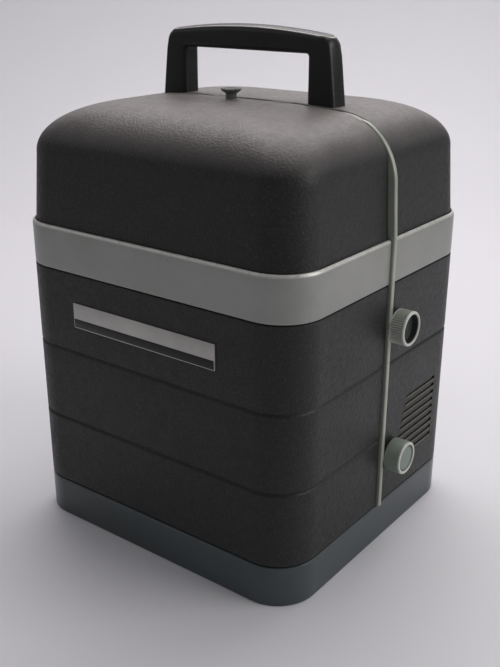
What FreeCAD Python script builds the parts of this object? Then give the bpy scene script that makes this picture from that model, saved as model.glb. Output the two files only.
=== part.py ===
"""A portable film projector in its carrying case, in millimetres.

+Z is up, -Y is the front with the nameplate, +X is the side with the two knobs. The origin is on the
table under the middle of the case. The front cover tips forward about its lower front edge. A plate
across the middle of the case carries the film mechanism in front and the motor behind.
"""
import FreeCAD, Part
import math
import os
import re
import Sketcher

Vector = FreeCAD.Vector

SIZES = (
    # The case as a whole
    ("case_width", 208),
    ("case_depth", 196),
    ("case_top", 269),
    ("corner_round", 26),
    ("top_crown", 5.4),
    ("crown_inset", 76),
    ("spring_line", 238.5),
    ("top_inset", 4.7),
    ("top_reach", 36.3),
    ("top_square", 2.28),
    ("top_open", 0.2),
    ("wall", 2.6),
    ("seam_gap", 2),
    ("part_gap", 0.3),
    ("fit_gap", 0.05),
    # Plinth, bottom sheet and feet
    ("foot_height", 1.6),
    ("foot_radius", 7),
    ("foot_inset", 26),
    ("base_top", 25.9),
    ("base_deck", 3),
    ("base_wall", 2.6),
    ("sheet_thick", 1.2),
    ("boss_inset", 15),
    ("boss_radius", 4.5),
    # Grooves and band round the shells
    ("cover_lift", 0.8),
    ("groove_low", 73.6),
    ("groove_high", 122.1),
    ("groove_width", 1.6),
    ("groove_depth", 1),
    ("band_bottom", 172.2),
    ("band_top", 199.3),
    ("band_inset", 1.7),
    ("lean_start", 2.3),
    ("band_skin", 1.6),
    # Mechanism plate between the shells
    ("plate_half", 1.6),
    ("rim_proud", 0.9),
    ("rim_lean", 1),
    ("rim_round", 37.4),
    ("rim_drop", 2.6),
    # Nameplate on the front
    ("name_left", 55.8),
    ("name_right", 53.5),
    ("name_bottom", 138.9),
    ("name_height", 15.7),
    ("name_thick", 0.8),
    ("name_corner", 1.2),
    # Carrying handle
    ("handle_x", -5),
    ("handle_front", 2.3),
    ("handle_depth", 14.5),
    ("handle_half", 60),
    ("handle_leg", 14.2),
    ("handle_flare", 3.4),
    ("handle_rise", 42),
    ("handle_drop", 4.5),
    ("handle_grip", 14.8),
    ("handle_sink", 18),
    ("handle_round", 7),
    ("handle_inner_round", 3.5),
    ("stripe_width", 1.1),
    ("stripe_inset", 2.6),
    ("stripe_thick", 0.5),
    # Cover catch
    ("latch_x", -5),
    ("latch_y", 9),
    ("latch_head_radius", 6),
    ("latch_head_height", 1.6),
    ("latch_head_base", 272.8),
    ("latch_stem_radius", 3.7),
    ("bush_radius", 4.9),
    ("bush_flange", 5.4),
    ("bush_rise", 0.5),
    ("bush_length", 9),
    ("catch_top", 256),
    ("catch_thick", 2),
    ("catch_half", 12),
    ("keeper_drop", 5),
    ("keeper_depth", 2),
    ("spring_radius", 3.6),
    ("spring_wire", 0.8),
    ("spring_turns", 5),
    ("spring_length", 12),
    ("bracket_sheet", 1.2),
    # Hooks that hold the foot of the cover
    ("hook_spacing", 120),
    ("hook_width", 16),
    ("hook_inner", 6),
    ("hook_sheet", 1.5),
    ("hook_strap", 15),
    # Knobs on the right side
    ("knob_radius", 10.6),
    ("knob_length", 11),
    ("knob_hub", 4.2),
    ("knob_stand", 1.4),
    ("knob_recess_radius", 7),
    ("knob_recess", 6),
    ("knob_ribs", 30),
    ("knob_rib_radius", 0.7),
    ("shaft_y", 8),
    ("inching_z", 145.2),
    ("elevation_y", 11.5),
    ("elevation_z", 58.3),
    # Air slots in the side of the rear shell
    ("slot_count", 9),
    ("slot_pitch", 5.12),
    ("slot_height", 2),
    ("slot_first", 48.8),
    ("slot_rear", 68),
    ("slot_front", 16.7),
    ("slot_step", 1.75),
    # Main shaft, shutter, cam and claw
    ("shaft_radius", 3),
    ("shaft_left", 18),
    ("film_y", 32),
    ("gate_x", 30),
    ("shutter_x", 14),
    ("shutter_thick", 1),
    ("shutter_radius", 45),
    ("shutter_hub", 5),
    ("cam_x", 20),
    ("cam_width", 4),
    ("cam_radius", 7),
    ("cam_throw", 1.2),
    ("claw_ring", 3),
    ("claw_drop", 16),
    ("claw_height", 5),
    ("bearing_width", 8),
    ("bearing_height", 18),
    ("bearing_left", 16),
    ("bearing_right", 84),
    ("worm_radius", 5),
    ("pulley_x", 4),
    ("pulley_width", 5),
    ("main_pulley", 9),
    ("motor_pulley", 6.5),
    ("belt_thick", 1.6),
    # Gate, lens and lamp
    ("aperture_width", 5.8),
    ("aperture_height", 4.2),
    ("gate_sheet", 1.5),
    ("gate_half", 26),
    ("gate_front", 44),
    ("pressure_sheet", 1.4),
    ("pressure_half", 24),
    ("pin_radius", 1.2),
    ("lens_radius", 14),
    ("lens_start", 35),
    ("lens_length", 52),
    ("lens_bore", 11),
    ("lens_rim", 16),
    ("lens_rim_length", 9),
    ("holder_start", 42),
    ("holder_length", 28),
    ("holder_wall", 3.5),
    ("focus_x", 56),
    ("focus_roller", 3.6),
    ("focus_knob_radius", 9),
    ("lamp_left", 42),
    ("lamp_right", 10),
    ("lamp_half", 27),
    ("lamp_front", 60),
    ("lamp_sheet", 1),
    ("lamp_bowl", 22),
    ("lamp_bowl_depth", 24),
    ("lamp_mouth_x", 2),
    ("condenser_radius", 11.6),
    # Sprockets and their wheels
    ("sprocket_x", 52),
    ("sprocket_rise", 34),
    ("sprocket_radius", 8.5),
    ("sprocket_width", 8),
    ("sprocket_teeth", 12),
    ("spindle_radius", 2.5),
    ("wheel_radius", 28.6),
    ("wheel_width", 6),
    ("wheel_teeth", 48),
    ("wheel_tooth", 1.6),
    ("guide_gap", 1.2),
    ("guide_thick", 2),
    # Reels and the supply arm
    ("arm_x", 62),
    ("arm_z", 192),
    ("arm_length", 46),
    ("arm_hub", 8),
    ("arm_stud", 4),
    ("arm_rear", 8),
    ("arm_thick", 4),
    ("seat_radius", 12),
    ("spindle_tip", 50),
    ("reel_x", 50),
    ("reel_z", 72),
    ("reel_radius", 37.5),
    ("reel_hub", 13),
    ("reel_width", 12),
    ("reel_flange", 1.1),
    ("reel_window", 8),
    # Motor, fan, transformer, inlet and switch
    ("motor_back", 43),
    ("motor_z", 75),
    ("motor_radius", 27),
    ("motor_start", 12),
    ("motor_length", 62),
    ("motor_shaft", 2.5),
    ("bracket_x", 8),
    ("bracket_thick", 3),
    ("fan_left", 30),
    ("fan_right", 9),
    ("fan_radius", 28),
    ("fan_blades", 12),
    ("fan_shell", 32),
    ("transformer_left", 94),
    ("transformer_length", 42),
    ("transformer_back", 12),
    ("transformer_depth", 48),
    ("transformer_height", 54),
    ("transformer_limb", 13),
    ("vent_low", 204),
    ("vent_width", 24),
    ("vent_pitch", 32),
    ("inlet_x", 66),
    ("inlet_z", 100),
    ("inlet_width", 26),
    ("inlet_height", 18),
    ("inlet_depth", 15),
    ("inlet_wall", 2.2),
    ("inlet_pin_length", 6),
    ("inlet_pin_pitch", 9),
    ("switch_x", 62),
    ("switch_z", 50),
    ("switch_knob", 9.5),
    # Rack foot
    ("rack_x", 80),
    ("rack_width", 6),
    ("rack_bar", 5),
    ("lift_travel", 24),
    ("rack_spare", 6),
    ("pinion_pitch", 6),
    ("pinion_teeth", 12),
    ("tooth_height", 1.7),
    ("tooth_root", 0.95),
    ("tooth_tip", 0.35),
    ("pad_radius", 8),
    ("pad_height", 3.5),
    ("pad_lift", 0.4),
    # Screws
    ("screw_radius", 1.6),
    ("screw_head", 3.2),
    ("screw_head_height", 1.6),
    ("screw_length", 12),
)
ALIASES = {alias for alias, number in SIZES}

doc = FreeCAD.newDocument("film_projector")
sheet = doc.addObject("Spreadsheet::Sheet", "Sizes")
for row, (alias, number) in enumerate(SIZES, start=1):
    sheet.set("A%d" % row, alias.replace("_", " "))
    sheet.set("B%d" % row, str(number))
    sheet.setAlias("B%d" % row, alias)
doc.recompute()

# Places that several pieces share, as formulas of the sizes
SIDE = "case_width/2"
BACK = "case_depth/2"
COVER_BOTTOM = "(base_top+cover_lift)"
RIM_TOP = "(case_top-rim_drop)"
DECK_UNDER = "(base_top-base_deck)"
SHEET_TOP = "(foot_height+1+sheet_thick)"
WALL_INSIDE = "(case_width/2-wall)"
UPPER_SPROCKET = "(inching_z+sprocket_rise)"
LOWER_SPROCKET = "(inching_z-sprocket_rise)"
HOLDER_RADIUS = "(lens_radius+holder_wall)"
MOTOR_Y = "(case_depth/2-motor_back)"
CORE_FRONT = "(case_depth/2-transformer_back-transformer_depth)"
RACK_FACE = "(elevation_y+pinion_pitch+tooth_height/2+0.25)"

AXIS_TURN = {
    "X": FreeCAD.Rotation(Vector(0, 1, 0), 90),
    "Y": FreeCAD.Rotation(Vector(1, 0, 0), -90),
    "Z": FreeCAD.Rotation(),
}
TURNED_TURN = {
    "X": FreeCAD.Rotation(),
    "Y": FreeCAD.Rotation(Vector(0, 0, 1), 90),
    "Z": FreeCAD.Rotation(Vector(0, 1, 0), -90),
}
NODES = []


def sized(text):
    """Puts the sheet's name in front of every size that a formula names."""
    def with_sheet(word):
        return "Sizes." + word.group() if word.group() in ALIASES else word.group()
    return re.sub(r"[a-z][a-z_0-9]*", with_sheet, str(text))


def number(text):
    """The present value of a formula."""
    return float(sheet.evalExpression(sized(text)))


def place(thing, x, y, z, turn=None):
    """Turns a thing and ties its corner or centre to three formulas."""
    if turn is not None:
        thing.Placement = FreeCAD.Placement(Vector(), turn)
    for letter, text in zip("xyz", (x, y, z)):
        thing.setExpression("Placement.Base." + letter, sized(text))
    return thing


def along(axis, run, across):
    """The three coordinates of a point at run along an axis and across the other two."""
    first, second = across
    return {"X": (run, first, second), "Y": (first, run, second), "Z": (first, second, run)}[axis]


def block(x, y, z):
    """A box between three pairs of formulas."""
    thing = doc.addObject("Part::Box", "block")
    for side, (low, high) in zip(("Length", "Width", "Height"), (x, y, z)):
        thing.setExpression(side, sized("(%s)-(%s)" % (high, low)))
    return place(thing, x[0], y[0], z[0])


def rod(axis, span, across, radius):
    """A cylinder along an axis between two formulas."""
    thing = doc.addObject("Part::Cylinder", "rod")
    thing.setExpression("Radius", sized(radius))
    thing.setExpression("Height", sized("(%s)-(%s)" % (span[1], span[0])))
    return place(thing, *along(axis, span[0], across), AXIS_TURN[axis])


def joined(things):
    """All things as one shape."""
    if len(things) == 1:
        return things[0]
    fuse = doc.addObject("Part::MultiFuse", "joined")
    fuse.Shapes = things
    return fuse


def cut(base, *tools):
    """A base with tools taken out of it."""
    thing = doc.addObject("Part::Cut", "cut")
    thing.Base = base
    thing.Tool = joined(list(tools))
    return thing


def shared(*things):
    """What all things have in common."""
    thing = doc.addObject("Part::MultiCommon", "shared")
    thing.Shapes = list(things)
    return thing


def group(things):
    """Separate solids kept together under one name."""
    thing = doc.addObject("Part::Compound", "group")
    thing.Links = things
    return thing


def tube(axis, span, across, outer, inner):
    """A ring or tube between two formulas."""
    return cut(rod(axis, span, across, outer), rod(axis, span, across, inner))


def sub_part(label, thing):
    """Names a finished sub-part."""
    thing.Label = label
    NODES.append(thing)
    return thing


def origin_plane(body, role):
    """One of the three base planes of a body."""
    return next(plane for plane in body.Origin.OriginFeatures if plane.Role == role)


def new_sketch(body, role):
    """A sketch on a base plane of its body."""
    sketch = body.newObject("Sketcher::SketchObject", "sketch")
    sketch.AttachmentSupport = [(origin_plane(body, role), "")]
    sketch.MapMode = "FlatFace"
    return sketch


def tie_point(sketch, geometry, end, x, y):
    """Ties a point of a sketch to two formulas, measured from the sketch's origin."""
    for kind, axis, text in (("DistanceX", -2, x), ("DistanceY", -1, y)):
        if text == "0":
            sketch.addConstraint(Sketcher.Constraint("PointOnObject", geometry, end, axis))
        else:
            index = sketch.addConstraint(
                Sketcher.Constraint(kind, -1, 1, geometry, end, number(text)))
            sketch.setExpression("Constraints[%d]" % index, sized(text))


def draw_outline(sketch, corners):
    """A closed outline of straight sides through points given as pairs of formulas."""
    points = [Vector(number(x), number(y), 0) for x, y in corners]
    count = len(points)
    for index in range(count):
        sketch.addGeometry(Part.LineSegment(points[index], points[(index + 1) % count]), False)
    for index in range(count):
        following = (index + 1) % count
        sketch.addConstraint(Sketcher.Constraint("Coincident", index, 2, following, 1))
    for index, (x, y) in enumerate(corners):
        tie_point(sketch, index, 1, x, y)


def draw_circle(sketch, x, y, radius):
    """A circle whose centre and radius are formulas."""
    centre = Vector(number(x), number(y), 0)
    index = sketch.addGeometry(Part.Circle(centre, Vector(0, 0, 1), number(radius)), False)
    tie_point(sketch, index, 3, x, y)
    rule = sketch.addConstraint(Sketcher.Constraint("Radius", index, number(radius)))
    sketch.setExpression("Constraints[%d]" % rule, sized(radius))


def new_body(label):
    """An empty body."""
    body = doc.addObject("PartDesign::Body", label)
    body.Label = label + " body"
    return body


def turned(label, axis, start, across, outline):
    """A body turned about an axis: the outline is pairs of run and radius from start."""
    body = new_body(label)
    sketch = new_sketch(body, "XY_Plane")
    draw_outline(sketch, outline)
    revolution = body.newObject("PartDesign::Revolution", "revolution")
    revolution.Profile = (sketch, [""])
    revolution.ReferenceAxis = (sketch, ["H_Axis"])
    revolution.Angle = 360
    body.Tip = revolution
    place(body, *along(axis, start, across), TURNED_TURN[axis])
    return body


def plate_body(label, role, corners, length, middle=False):
    """A body padded from a straight-sided outline on one of its base planes."""
    body = new_body(label)
    sketch = new_sketch(body, role)
    draw_outline(sketch, corners)
    pad = body.newObject("PartDesign::Pad", "pad")
    pad.Profile = (sketch, [""])
    pad.Midplane = middle
    pad.setExpression("Length", sized(length))
    body.Tip = pad
    return body


def edges_at(shape, test):
    """The names of the edges of a shape whose middle point and direction pass a test."""
    names = []
    for index, edge in enumerate(shape.Edges, start=1):
        middle = edge.valueAt((edge.FirstParameter + edge.LastParameter) / 2)
        if test(middle, edge.tangentAt(edge.FirstParameter)):
            names.append("Edge%d" % index)
    return names


def round_edges(body, radius, test):
    """Rounds the chosen edges of a body."""
    doc.recompute()
    base = body.Tip
    names = edges_at(base.Shape, test)
    fillet = body.newObject("PartDesign::Fillet", "rounding")
    fillet.Base = (base, names)
    fillet.setExpression("Radius", sized(radius))
    body.Tip = fillet
    doc.recompute()


def cut_round(body, role, draw, copies=None):
    """Cuts a drawn profile right through a body, and repeats it about the profile's own normal."""
    sketch = new_sketch(body, role)
    draw(sketch)
    pocket = body.newObject("PartDesign::Pocket", "pocket")
    pocket.Profile = (sketch, [""])
    pocket.Type = "ThroughAll"
    pocket.Midplane = True
    body.Tip = pocket
    if copies is not None:
        doc.recompute()
        pattern = body.newObject("PartDesign::PolarPattern", "pattern")
        pattern.Originals = [pocket]
        pattern.Axis = (sketch, ["N_Axis"])
        pattern.Angle = 360
        pattern.setExpression("Occurrences", sized(copies))
        body.Tip = pattern
    return body


def plan_outline(width, depth, corner, height):
    """A rounded rectangle in plan, about the origin, at a height."""
    half_x, half_y, radius = number(width) / 2, number(depth) / 2, number(corner)
    inner_x, inner_y = half_x - radius, half_y - radius
    sketch = doc.addObject("Sketcher::SketchObject", "plan")

    def side(start, end):
        return Part.LineSegment(Vector(*start, 0), Vector(*end, 0))

    def round_corner(x, y, first):
        circle = Part.Circle(Vector(x, y, 0), Vector(0, 0, 1), radius)
        return Part.ArcOfCircle(circle, math.radians(first), math.radians(first + 90))

    sketch.addGeometry([
        side((-inner_x, -half_y), (inner_x, -half_y)),
        round_corner(inner_x, -inner_y, 270),
        side((half_x, -inner_y), (half_x, inner_y)),
        round_corner(inner_x, inner_y, 0),
        side((inner_x, half_y), (-inner_x, half_y)),
        round_corner(-inner_x, inner_y, 90),
        side((-half_x, inner_y), (-half_x, -inner_y)),
        round_corner(-inner_x, -inner_y, 180),
    ], False)
    rules = [Sketcher.Constraint("Tangent", piece, 2, (piece + 1) % 8, 1) for piece in range(8)]
    rules += [Sketcher.Constraint("Horizontal", piece) for piece in (0, 4)]
    rules += [Sketcher.Constraint("Vertical", piece) for piece in (2, 6)]
    rules += [Sketcher.Constraint("Equal", 1, piece) for piece in (3, 5, 7)]
    rules.append(Sketcher.Constraint("Symmetric", 0, 1, 4, 1, -1, 1))
    sketch.addConstraint(rules)
    for rule, text in (
            (Sketcher.Constraint("DistanceX", 6, 1, 2, 1, 2 * half_x), width),
            (Sketcher.Constraint("DistanceY", 0, 1, 4, 1, 2 * half_y), depth),
            (Sketcher.Constraint("Radius", 1, radius), corner)):
        index = sketch.addConstraint(rule)
        sketch.setExpression("Constraints[%d]" % index, sized(text))
    sketch.setExpression("Placement.Base.z", sized(height))
    return sketch


def upright(outline, low, high):
    """A plan carried up between two heights."""
    thing = doc.addObject("Part::Extrusion", "prism")
    thing.Base = outline
    thing.DirMode = "Custom"
    thing.Dir = Vector(0, 0, 1)
    thing.Solid = True
    thing.setExpression("LengthFwd", sized("(%s)-(%s)" % (high, low)))
    return thing


def prism(inset, low, high):
    """The plan of the case, drawn in by inset, between two heights."""
    outline = plan_outline("case_width-2*(%s)" % inset, "case_depth-2*(%s)" % inset,
                           "corner_round-(%s)" % inset, low)
    return upright(outline, low, high)


def lofted(sections, ruled):
    """A solid through plans, with flat sides between them or smooth ones."""
    loft = doc.addObject("Part::Loft", "loft")
    loft.Sections = sections
    loft.Solid = True
    loft.Ruled = ruled
    return loft


def upper_plan(inset, corner, height):
    """A plan of the upper case, drawn in by inset from the case's own, at a height."""
    return plan_outline("case_width-2*(%s)" % inset, "case_depth-2*(%s)" % inset, corner, height)


def upper_case(skin):
    """The case above the band, drawn in by skin on every side.

    The wall leans in evenly up to the spring line. From there each section is the plan drawn in
    by an inset: height over inset follows a quarter oval, slightly squarer than a true one, and
    a slow crown on top of it. The corners of the plan open out towards the top.
    """
    corner = "corner_round-(%s)" % skin
    wall_plans = [upper_plan("lean_start+(%s)" % skin, corner + "-lean_start", "band_top-1"),
                  upper_plan("top_inset+(%s)" % skin, corner + "-lean_start", "spring_line")]
    reach = "(top_reach-(%s))" % skin
    rise = "(case_top-top_crown-spring_line-(%s))" % skin
    stations = [("%s*(1-cos(%d deg)^(2/top_square))" % (reach, angle),
                 "%s*sin(%d deg)^(2/top_square)" % (rise, angle))
                for angle in (0, 12, 24, 38, 52, 66, 80)]
    stations += [("(%s+%s*(crown_inset-%s))" % (reach, share, reach), rise)
                 for share in (0, 0.25, 0.5, 0.75, 1)]
    plans = []
    for inset, up in stations:
        crown = "top_crown*((%s)/crown_inset)*(2-(%s)/crown_inset)" % (inset, inset)
        opened = ("min(%s-lean_start+top_open*(%s);"
                  " 0.9*(min(case_width; case_depth)/2-top_inset-(%s)-(%s)))"
                  % (corner, inset, skin, inset))
        plans.append(upper_plan("top_inset+(%s)+(%s)" % (skin, inset), opened,
                                "spring_line+(%s)+%s" % (up, crown)))
    return joined([lofted(wall_plans, True), lofted(plans, False)])


def case_solid(skin, low):
    """The whole case from a height up to the top, drawn in by skin: full below the band's
    ledge, set in behind the band, and leaning in and domed above it."""
    lower = prism(skin, low, "band_bottom-(%s)" % skin)
    behind_band = prism("band_inset+(%s)" % skin, low, "band_top-1")
    return joined([lower, behind_band, upper_case(skin)])


def groove_ring(height):
    """The ring that a groove round the case takes away."""
    half = "groove_width/2"
    outer = prism("-1", "(%s)-%s" % (height, half), "(%s)+%s" % (height, half))
    inner = prism("groove_depth", "(%s)-%s-1" % (height, half), "(%s)+%s+1" % (height, half))
    return cut(outer, inner)


def front_space(low):
    """All the space in front of the seam, above a height."""
    return block(("-case_width", "case_width"), ("-case_depth", "-seam_gap"), (low, "case_top*2"))


def rear_space(low):
    """All the space behind the seam, above a height."""
    return block(("-case_width", "case_width"), ("seam_gap", "case_depth"), (low, "case_top*2"))


def screw(axis, start, across, towards):
    """A round-headed screw whose head starts at start and whose shank runs towards +1 or -1."""
    shank_end = "(%s)+(%s)*screw_length" % (start, towards)
    head_end = "(%s)+(%s)*screw_head_height" % (start, towards)
    spans = (((start, head_end), (head_end, shank_end)) if towards > 0
             else ((head_end, start), (shank_end, head_end)))
    return joined([rod(axis, spans[0], across, "screw_head"),
                   rod(axis, spans[1], across, "screw_radius")])


# Plinth and what is under it
base_block = prism("0", "0", "base_top")
base_hollow = prism("base_wall", "-1", DECK_UNDER)
boss_places = [("%d*(case_width/2-boss_inset)" % x, "%d*(case_depth/2-boss_inset)" % y)
               for x in (-1, 1) for y in (-1, 1)]
bosses = [rod("Z", (SHEET_TOP, DECK_UNDER), place_xy, "boss_radius") for place_xy in boss_places]
boss_holes = [rod("Z", ("foot_height", DECK_UNDER), place_xy, "screw_radius+fit_gap")
              for place_xy in boss_places]
hook_slots = [block(("%d*hook_spacing/2-hook_width/2-part_gap" % side,
                     "%d*hook_spacing/2+hook_width/2+part_gap" % side),
                    ("-case_depth/2+hook_inner-1.5", "-case_depth/2+hook_inner+hook_sheet+0.4"),
                    ("base_top-base_deck-1", "base_top+1")) for side in (-1, 1)]
rack_hole = block(("rack_x-part_gap", "rack_x+rack_width+part_gap"),
                  ("%s-tooth_height-part_gap" % RACK_FACE, "%s+rack_bar+part_gap" % RACK_FACE),
                  ("foot_height-1", "base_top+1"))
pad_hole = rod("Z", ("foot_height-1", SHEET_TOP),
               ("rack_x+rack_width/2", "%s+rack_bar/2" % RACK_FACE), "pad_radius+part_gap*2")
base = cut(joined([cut(base_block, base_hollow)] + bosses), rack_hole, *hook_slots, *boss_holes)
sub_part("base_plinth", base)

sheet_solid = prism("base_wall+part_gap", "foot_height+1", SHEET_TOP)
sheet_holes = [rod("Z", ("foot_height", SHEET_TOP + "+1"), place_xy, "screw_radius+fit_gap")
               for place_xy in boss_places]
sub_part("bottom_sheet", cut(sheet_solid, pad_hole, *sheet_holes))

feet = [rod("Z", ("0", "foot_height+1"),
            ("%d*(case_width/2-foot_inset)" % x, "%d*(case_depth/2-foot_inset)" % y),
            "foot_radius") for x in (-1, 1) for y in (-1, 1)]
sub_part("rubber_feet", group(feet))

# Rear shell
outer_case = case_solid("0", "base_top")
inner_case = case_solid("wall", "base_top-1")
grooves = [groove_ring("groove_low"), groove_ring("groove_high")]
shell_screws = [("%d*(case_width/2-wall-boss_radius+0.5)" % side, height)
                for side in (-1, 1) for height in ("base_top+6", "band_bottom-8")]
shell_bosses = [rod("Y", ("seam_gap", "seam_gap+screw_length+6"), place_xz, "boss_radius")
                for place_xz in shell_screws]
shell_boss_holes = [rod("Y", ("0", "seam_gap+screw_length+2"), place_xz, "screw_radius+fit_gap")
                    for place_xz in shell_screws]
slot_total = int(number("slot_count"))
air_slots = []
for side in (-1, 1):
    for step in range(slot_total):
        low = "slot_first+%d*slot_pitch" % step
        walls = ("%d*case_width/2-5" % side, "%d*case_width/2+5" % side)
        air_slots.append(block(walls, ("slot_front+%d*slot_step" % step, "slot_rear"),
                               (low, "%s+slot_height" % low)))
rear_vents = [block(("%d*vent_pitch-vent_width/2" % column, "%d*vent_pitch+vent_width/2" % column),
                    ("case_depth/2-wall-8", "case_depth/2+1"),
                    ("vent_low+%d*slot_pitch" % step, "vent_low+%d*slot_pitch+slot_height" % step))
              for column in (-1, 0, 1) for step in range(4)]
inlet_hole = block(("-inlet_x-inlet_width/2-0.1", "-inlet_x+inlet_width/2+0.1"),
                   ("case_depth/2-wall-1", "case_depth/2+1"),
                   ("inlet_z-inlet_height/2-0.1", "inlet_z+inlet_height/2+0.1"))
knob_holes = [rod("X", (WALL_INSIDE + "-2", SIDE + "+2"), ("shaft_y", "inching_z"), "knob_hub+0.8"),
              rod("X", (WALL_INSIDE + "-2", SIDE + "+2"), ("elevation_y", "elevation_z"),
                  "knob_hub+0.8")]
leg_middles = ["(handle_x%+d*(handle_half-handle_leg/2))" % side for side in (-1, 1)]
to_inside = "handle_leg/2+part_gap"
to_outside = "handle_leg/2+handle_flare+part_gap"
leg_slots = [block((middle + "-(" + to_low + ")", middle + "+(" + to_high + ")"),
                   ("seam_gap-1", "handle_front+handle_depth+part_gap"),
                   ("spring_line", "case_top+5"))
             for middle, to_low, to_high in ((leg_middles[0], to_outside, to_inside),
                                             (leg_middles[1], to_inside, to_outside))]
rear_skin = cut(shared(outer_case, rear_space("base_top")), inner_case, *grooves)
rear_inside_bosses = shared(joined(shell_bosses), outer_case)
rear_shell = cut(joined([rear_skin, rear_inside_bosses]), inlet_hole, *shell_boss_holes,
                 *knob_holes, *leg_slots, *air_slots, *rear_vents)
sub_part("rear_housing", rear_shell)

band_ring = cut(prism("0", "band_bottom", "band_top"),
                prism("band_skin", "band_bottom-1", "band_top+1"))
sub_part("rear_band", shared(band_ring, rear_space("band_bottom")))

# Plate that carries the mechanism, with its rim showing at the seam
plate_corners = [("-case_width/2-rim_proud", "base_top"),
                 ("case_width/2+rim_proud", "base_top"),
                 ("case_width/2+rim_proud", "band_top"),
                 ("case_width/2-rim_lean", RIM_TOP + "-rim_round"),
                 ("case_width/2-rim_lean", RIM_TOP),
                 ("-case_width/2+rim_lean", RIM_TOP),
                 ("-case_width/2+rim_lean", RIM_TOP + "-rim_round"),
                 ("-case_width/2-rim_proud", "band_top")]
plate = plate_body("mechanism_plate_blank", "XZ_Plane", plate_corners, "2*plate_half", True)
doc.recompute()


def plate_shoulders():
    """What rounds the two top corners of the plate: a square less a quarter disc, each side."""
    pieces = []
    for side in (-1, 1):
        centre_x = "%d*(case_width/2-rim_lean-rim_round)" % side
        centre_z = "(%s-rim_round)" % RIM_TOP
        low, high = (centre_x, "case_width") if side > 0 else ("-case_width", centre_x)
        square = block((low, high), ("-10", "10"), (centre_z, "case_top+20"))
        disc = rod("Y", ("-11", "11"), (centre_x, centre_z), "rim_round")
        pieces.append(cut(square, disc))
    return pieces


shutter_slot = block(("shutter_x-1.5", "shutter_x+shutter_thick+1.5"), ("-5", "5"),
                     ("inching_z-shutter_radius-2.5", "inching_z+shutter_radius+2.5"))
claw_slot = block(("cam_x-0.5", "cam_x+cam_width+0.5"), ("-5", "5"),
                  ("inching_z-claw_drop-claw_height", "inching_z+claw_drop"))
air_hole = block(("-lamp_left+8", "-bearing_left-4"), ("-5", "5"),
                 ("inching_z-lamp_half+6", "inching_z+lamp_half-6"))
pulley_hole = block(("-pulley_x-2", "-pulley_x+pulley_width+2"), ("-5", "5"),
                    ("inching_z-main_pulley-3", "inching_z+main_pulley+3"))
sprocket_holes = [rod("Y", ("-5", "5"), ("sprocket_x", height), "spindle_radius+fit_gap")
                  for height in (UPPER_SPROCKET, LOWER_SPROCKET)]
reel_hole = rod("Y", ("-5", "5"), ("-reel_x", "reel_z"), "spindle_radius+fit_gap")
switch_hole = rod("Y", ("-5", "5"), ("switch_x", "switch_z"), "spindle_radius+fit_gap")
shell_screw_holes = [rod("Y", ("-5", "5"), place_xz, "screw_radius+fit_gap")
                     for place_xz in shell_screws]
leg_screws = [(middle, "case_top-handle_sink+5") for middle in leg_middles]
leg_screw_holes = [rod("Y", ("-5", "handle_front+1"), place_xz, "screw_radius+fit_gap")
                   for place_xz in leg_screws]
arm_stud = rod("Y", ("-arm_rear-arm_thick-2", "-plate_half"), ("-arm_x", "arm_z"), "arm_stud")
leg_pads = [rod("Y", ("plate_half", "handle_front"), place_xz, "boss_radius")
            for place_xz in leg_screws]
plate_solid = cut(joined([plate] + leg_pads), *plate_shoulders(), shutter_slot, claw_slot,
                  air_hole, pulley_hole, *sprocket_holes, reel_hole, switch_hole,
                  *shell_screw_holes, *leg_screw_holes)
keeper = block(("latch_x-catch_half", "latch_x+catch_half"),
               ("-plate_half-keeper_depth", "-plate_half"),
               ("catch_top-catch_thick-1-keeper_drop", "catch_top-catch_thick-1"))
sub_part("mechanism_plate", joined([plate_solid, arm_stud, keeper]))

# Front cover with its band and nameplate
cover_skin = cut(shared(outer_case, front_space(COVER_BOTTOM)), inner_case, *grooves)
bush_hole = rod("Z", ("case_top-wall-8", "case_top+5"), ("latch_x", "-latch_y"),
                "bush_radius+fit_gap")
sub_part("front_cover", cut(cover_skin, bush_hole))
sub_part("front_band", shared(band_ring, front_space("band_bottom")))

nameplate = plate_body("nameplate", "XZ_Plane",
                       [("-name_left", "name_bottom"), ("name_right", "name_bottom"),
                        ("name_right", "name_bottom+name_height"),
                        ("-name_left", "name_bottom+name_height")], "name_thick")
place(nameplate, "0", "-case_depth/2", "0")
round_edges(nameplate, "name_corner", lambda middle, way: abs(way.y) > 0.99)
sub_part("nameplate", nameplate)

# Hooks at the foot of the cover, curved about the edge that the cover tips on
hooks = []
for side in (-1, 1):
    width = ("%d*hook_spacing/2-hook_width/2" % side, "%d*hook_spacing/2+hook_width/2" % side)
    face = "(-case_depth/2+wall)"
    strap = block(width, (face, face + "+hook_sheet"),
                  (COVER_BOTTOM + "+2.4", COVER_BOTTOM + "+2.4+hook_strap"))
    foot = block(width, (face, "-case_depth/2+hook_inner+0.4"),
                 (COVER_BOTTOM + "+2.4", COVER_BOTTOM + "+2.4+hook_sheet"))
    ring = tube("X", width, ("-case_depth/2", "base_top+0.5"), "hook_inner+hook_sheet",
                "hook_inner")
    slice_body = plate_body("hook_slice", "YZ_Plane",
                            [("-case_depth/2", "base_top+0.5"),
                             ("-case_depth/2+hook_inner*1.8", "base_top+0.5-hook_inner*2.4"),
                             ("-case_depth/2+hook_inner*3", "base_top+0.5"),
                             ("-case_depth/2+hook_inner*1.9", "base_top+0.5+hook_inner*1.15")],
                            "case_width", True)
    hooks.append(joined([strap, foot, shared(ring, slice_body)]))
sub_part("cover_hooks", group(hooks))

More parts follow.
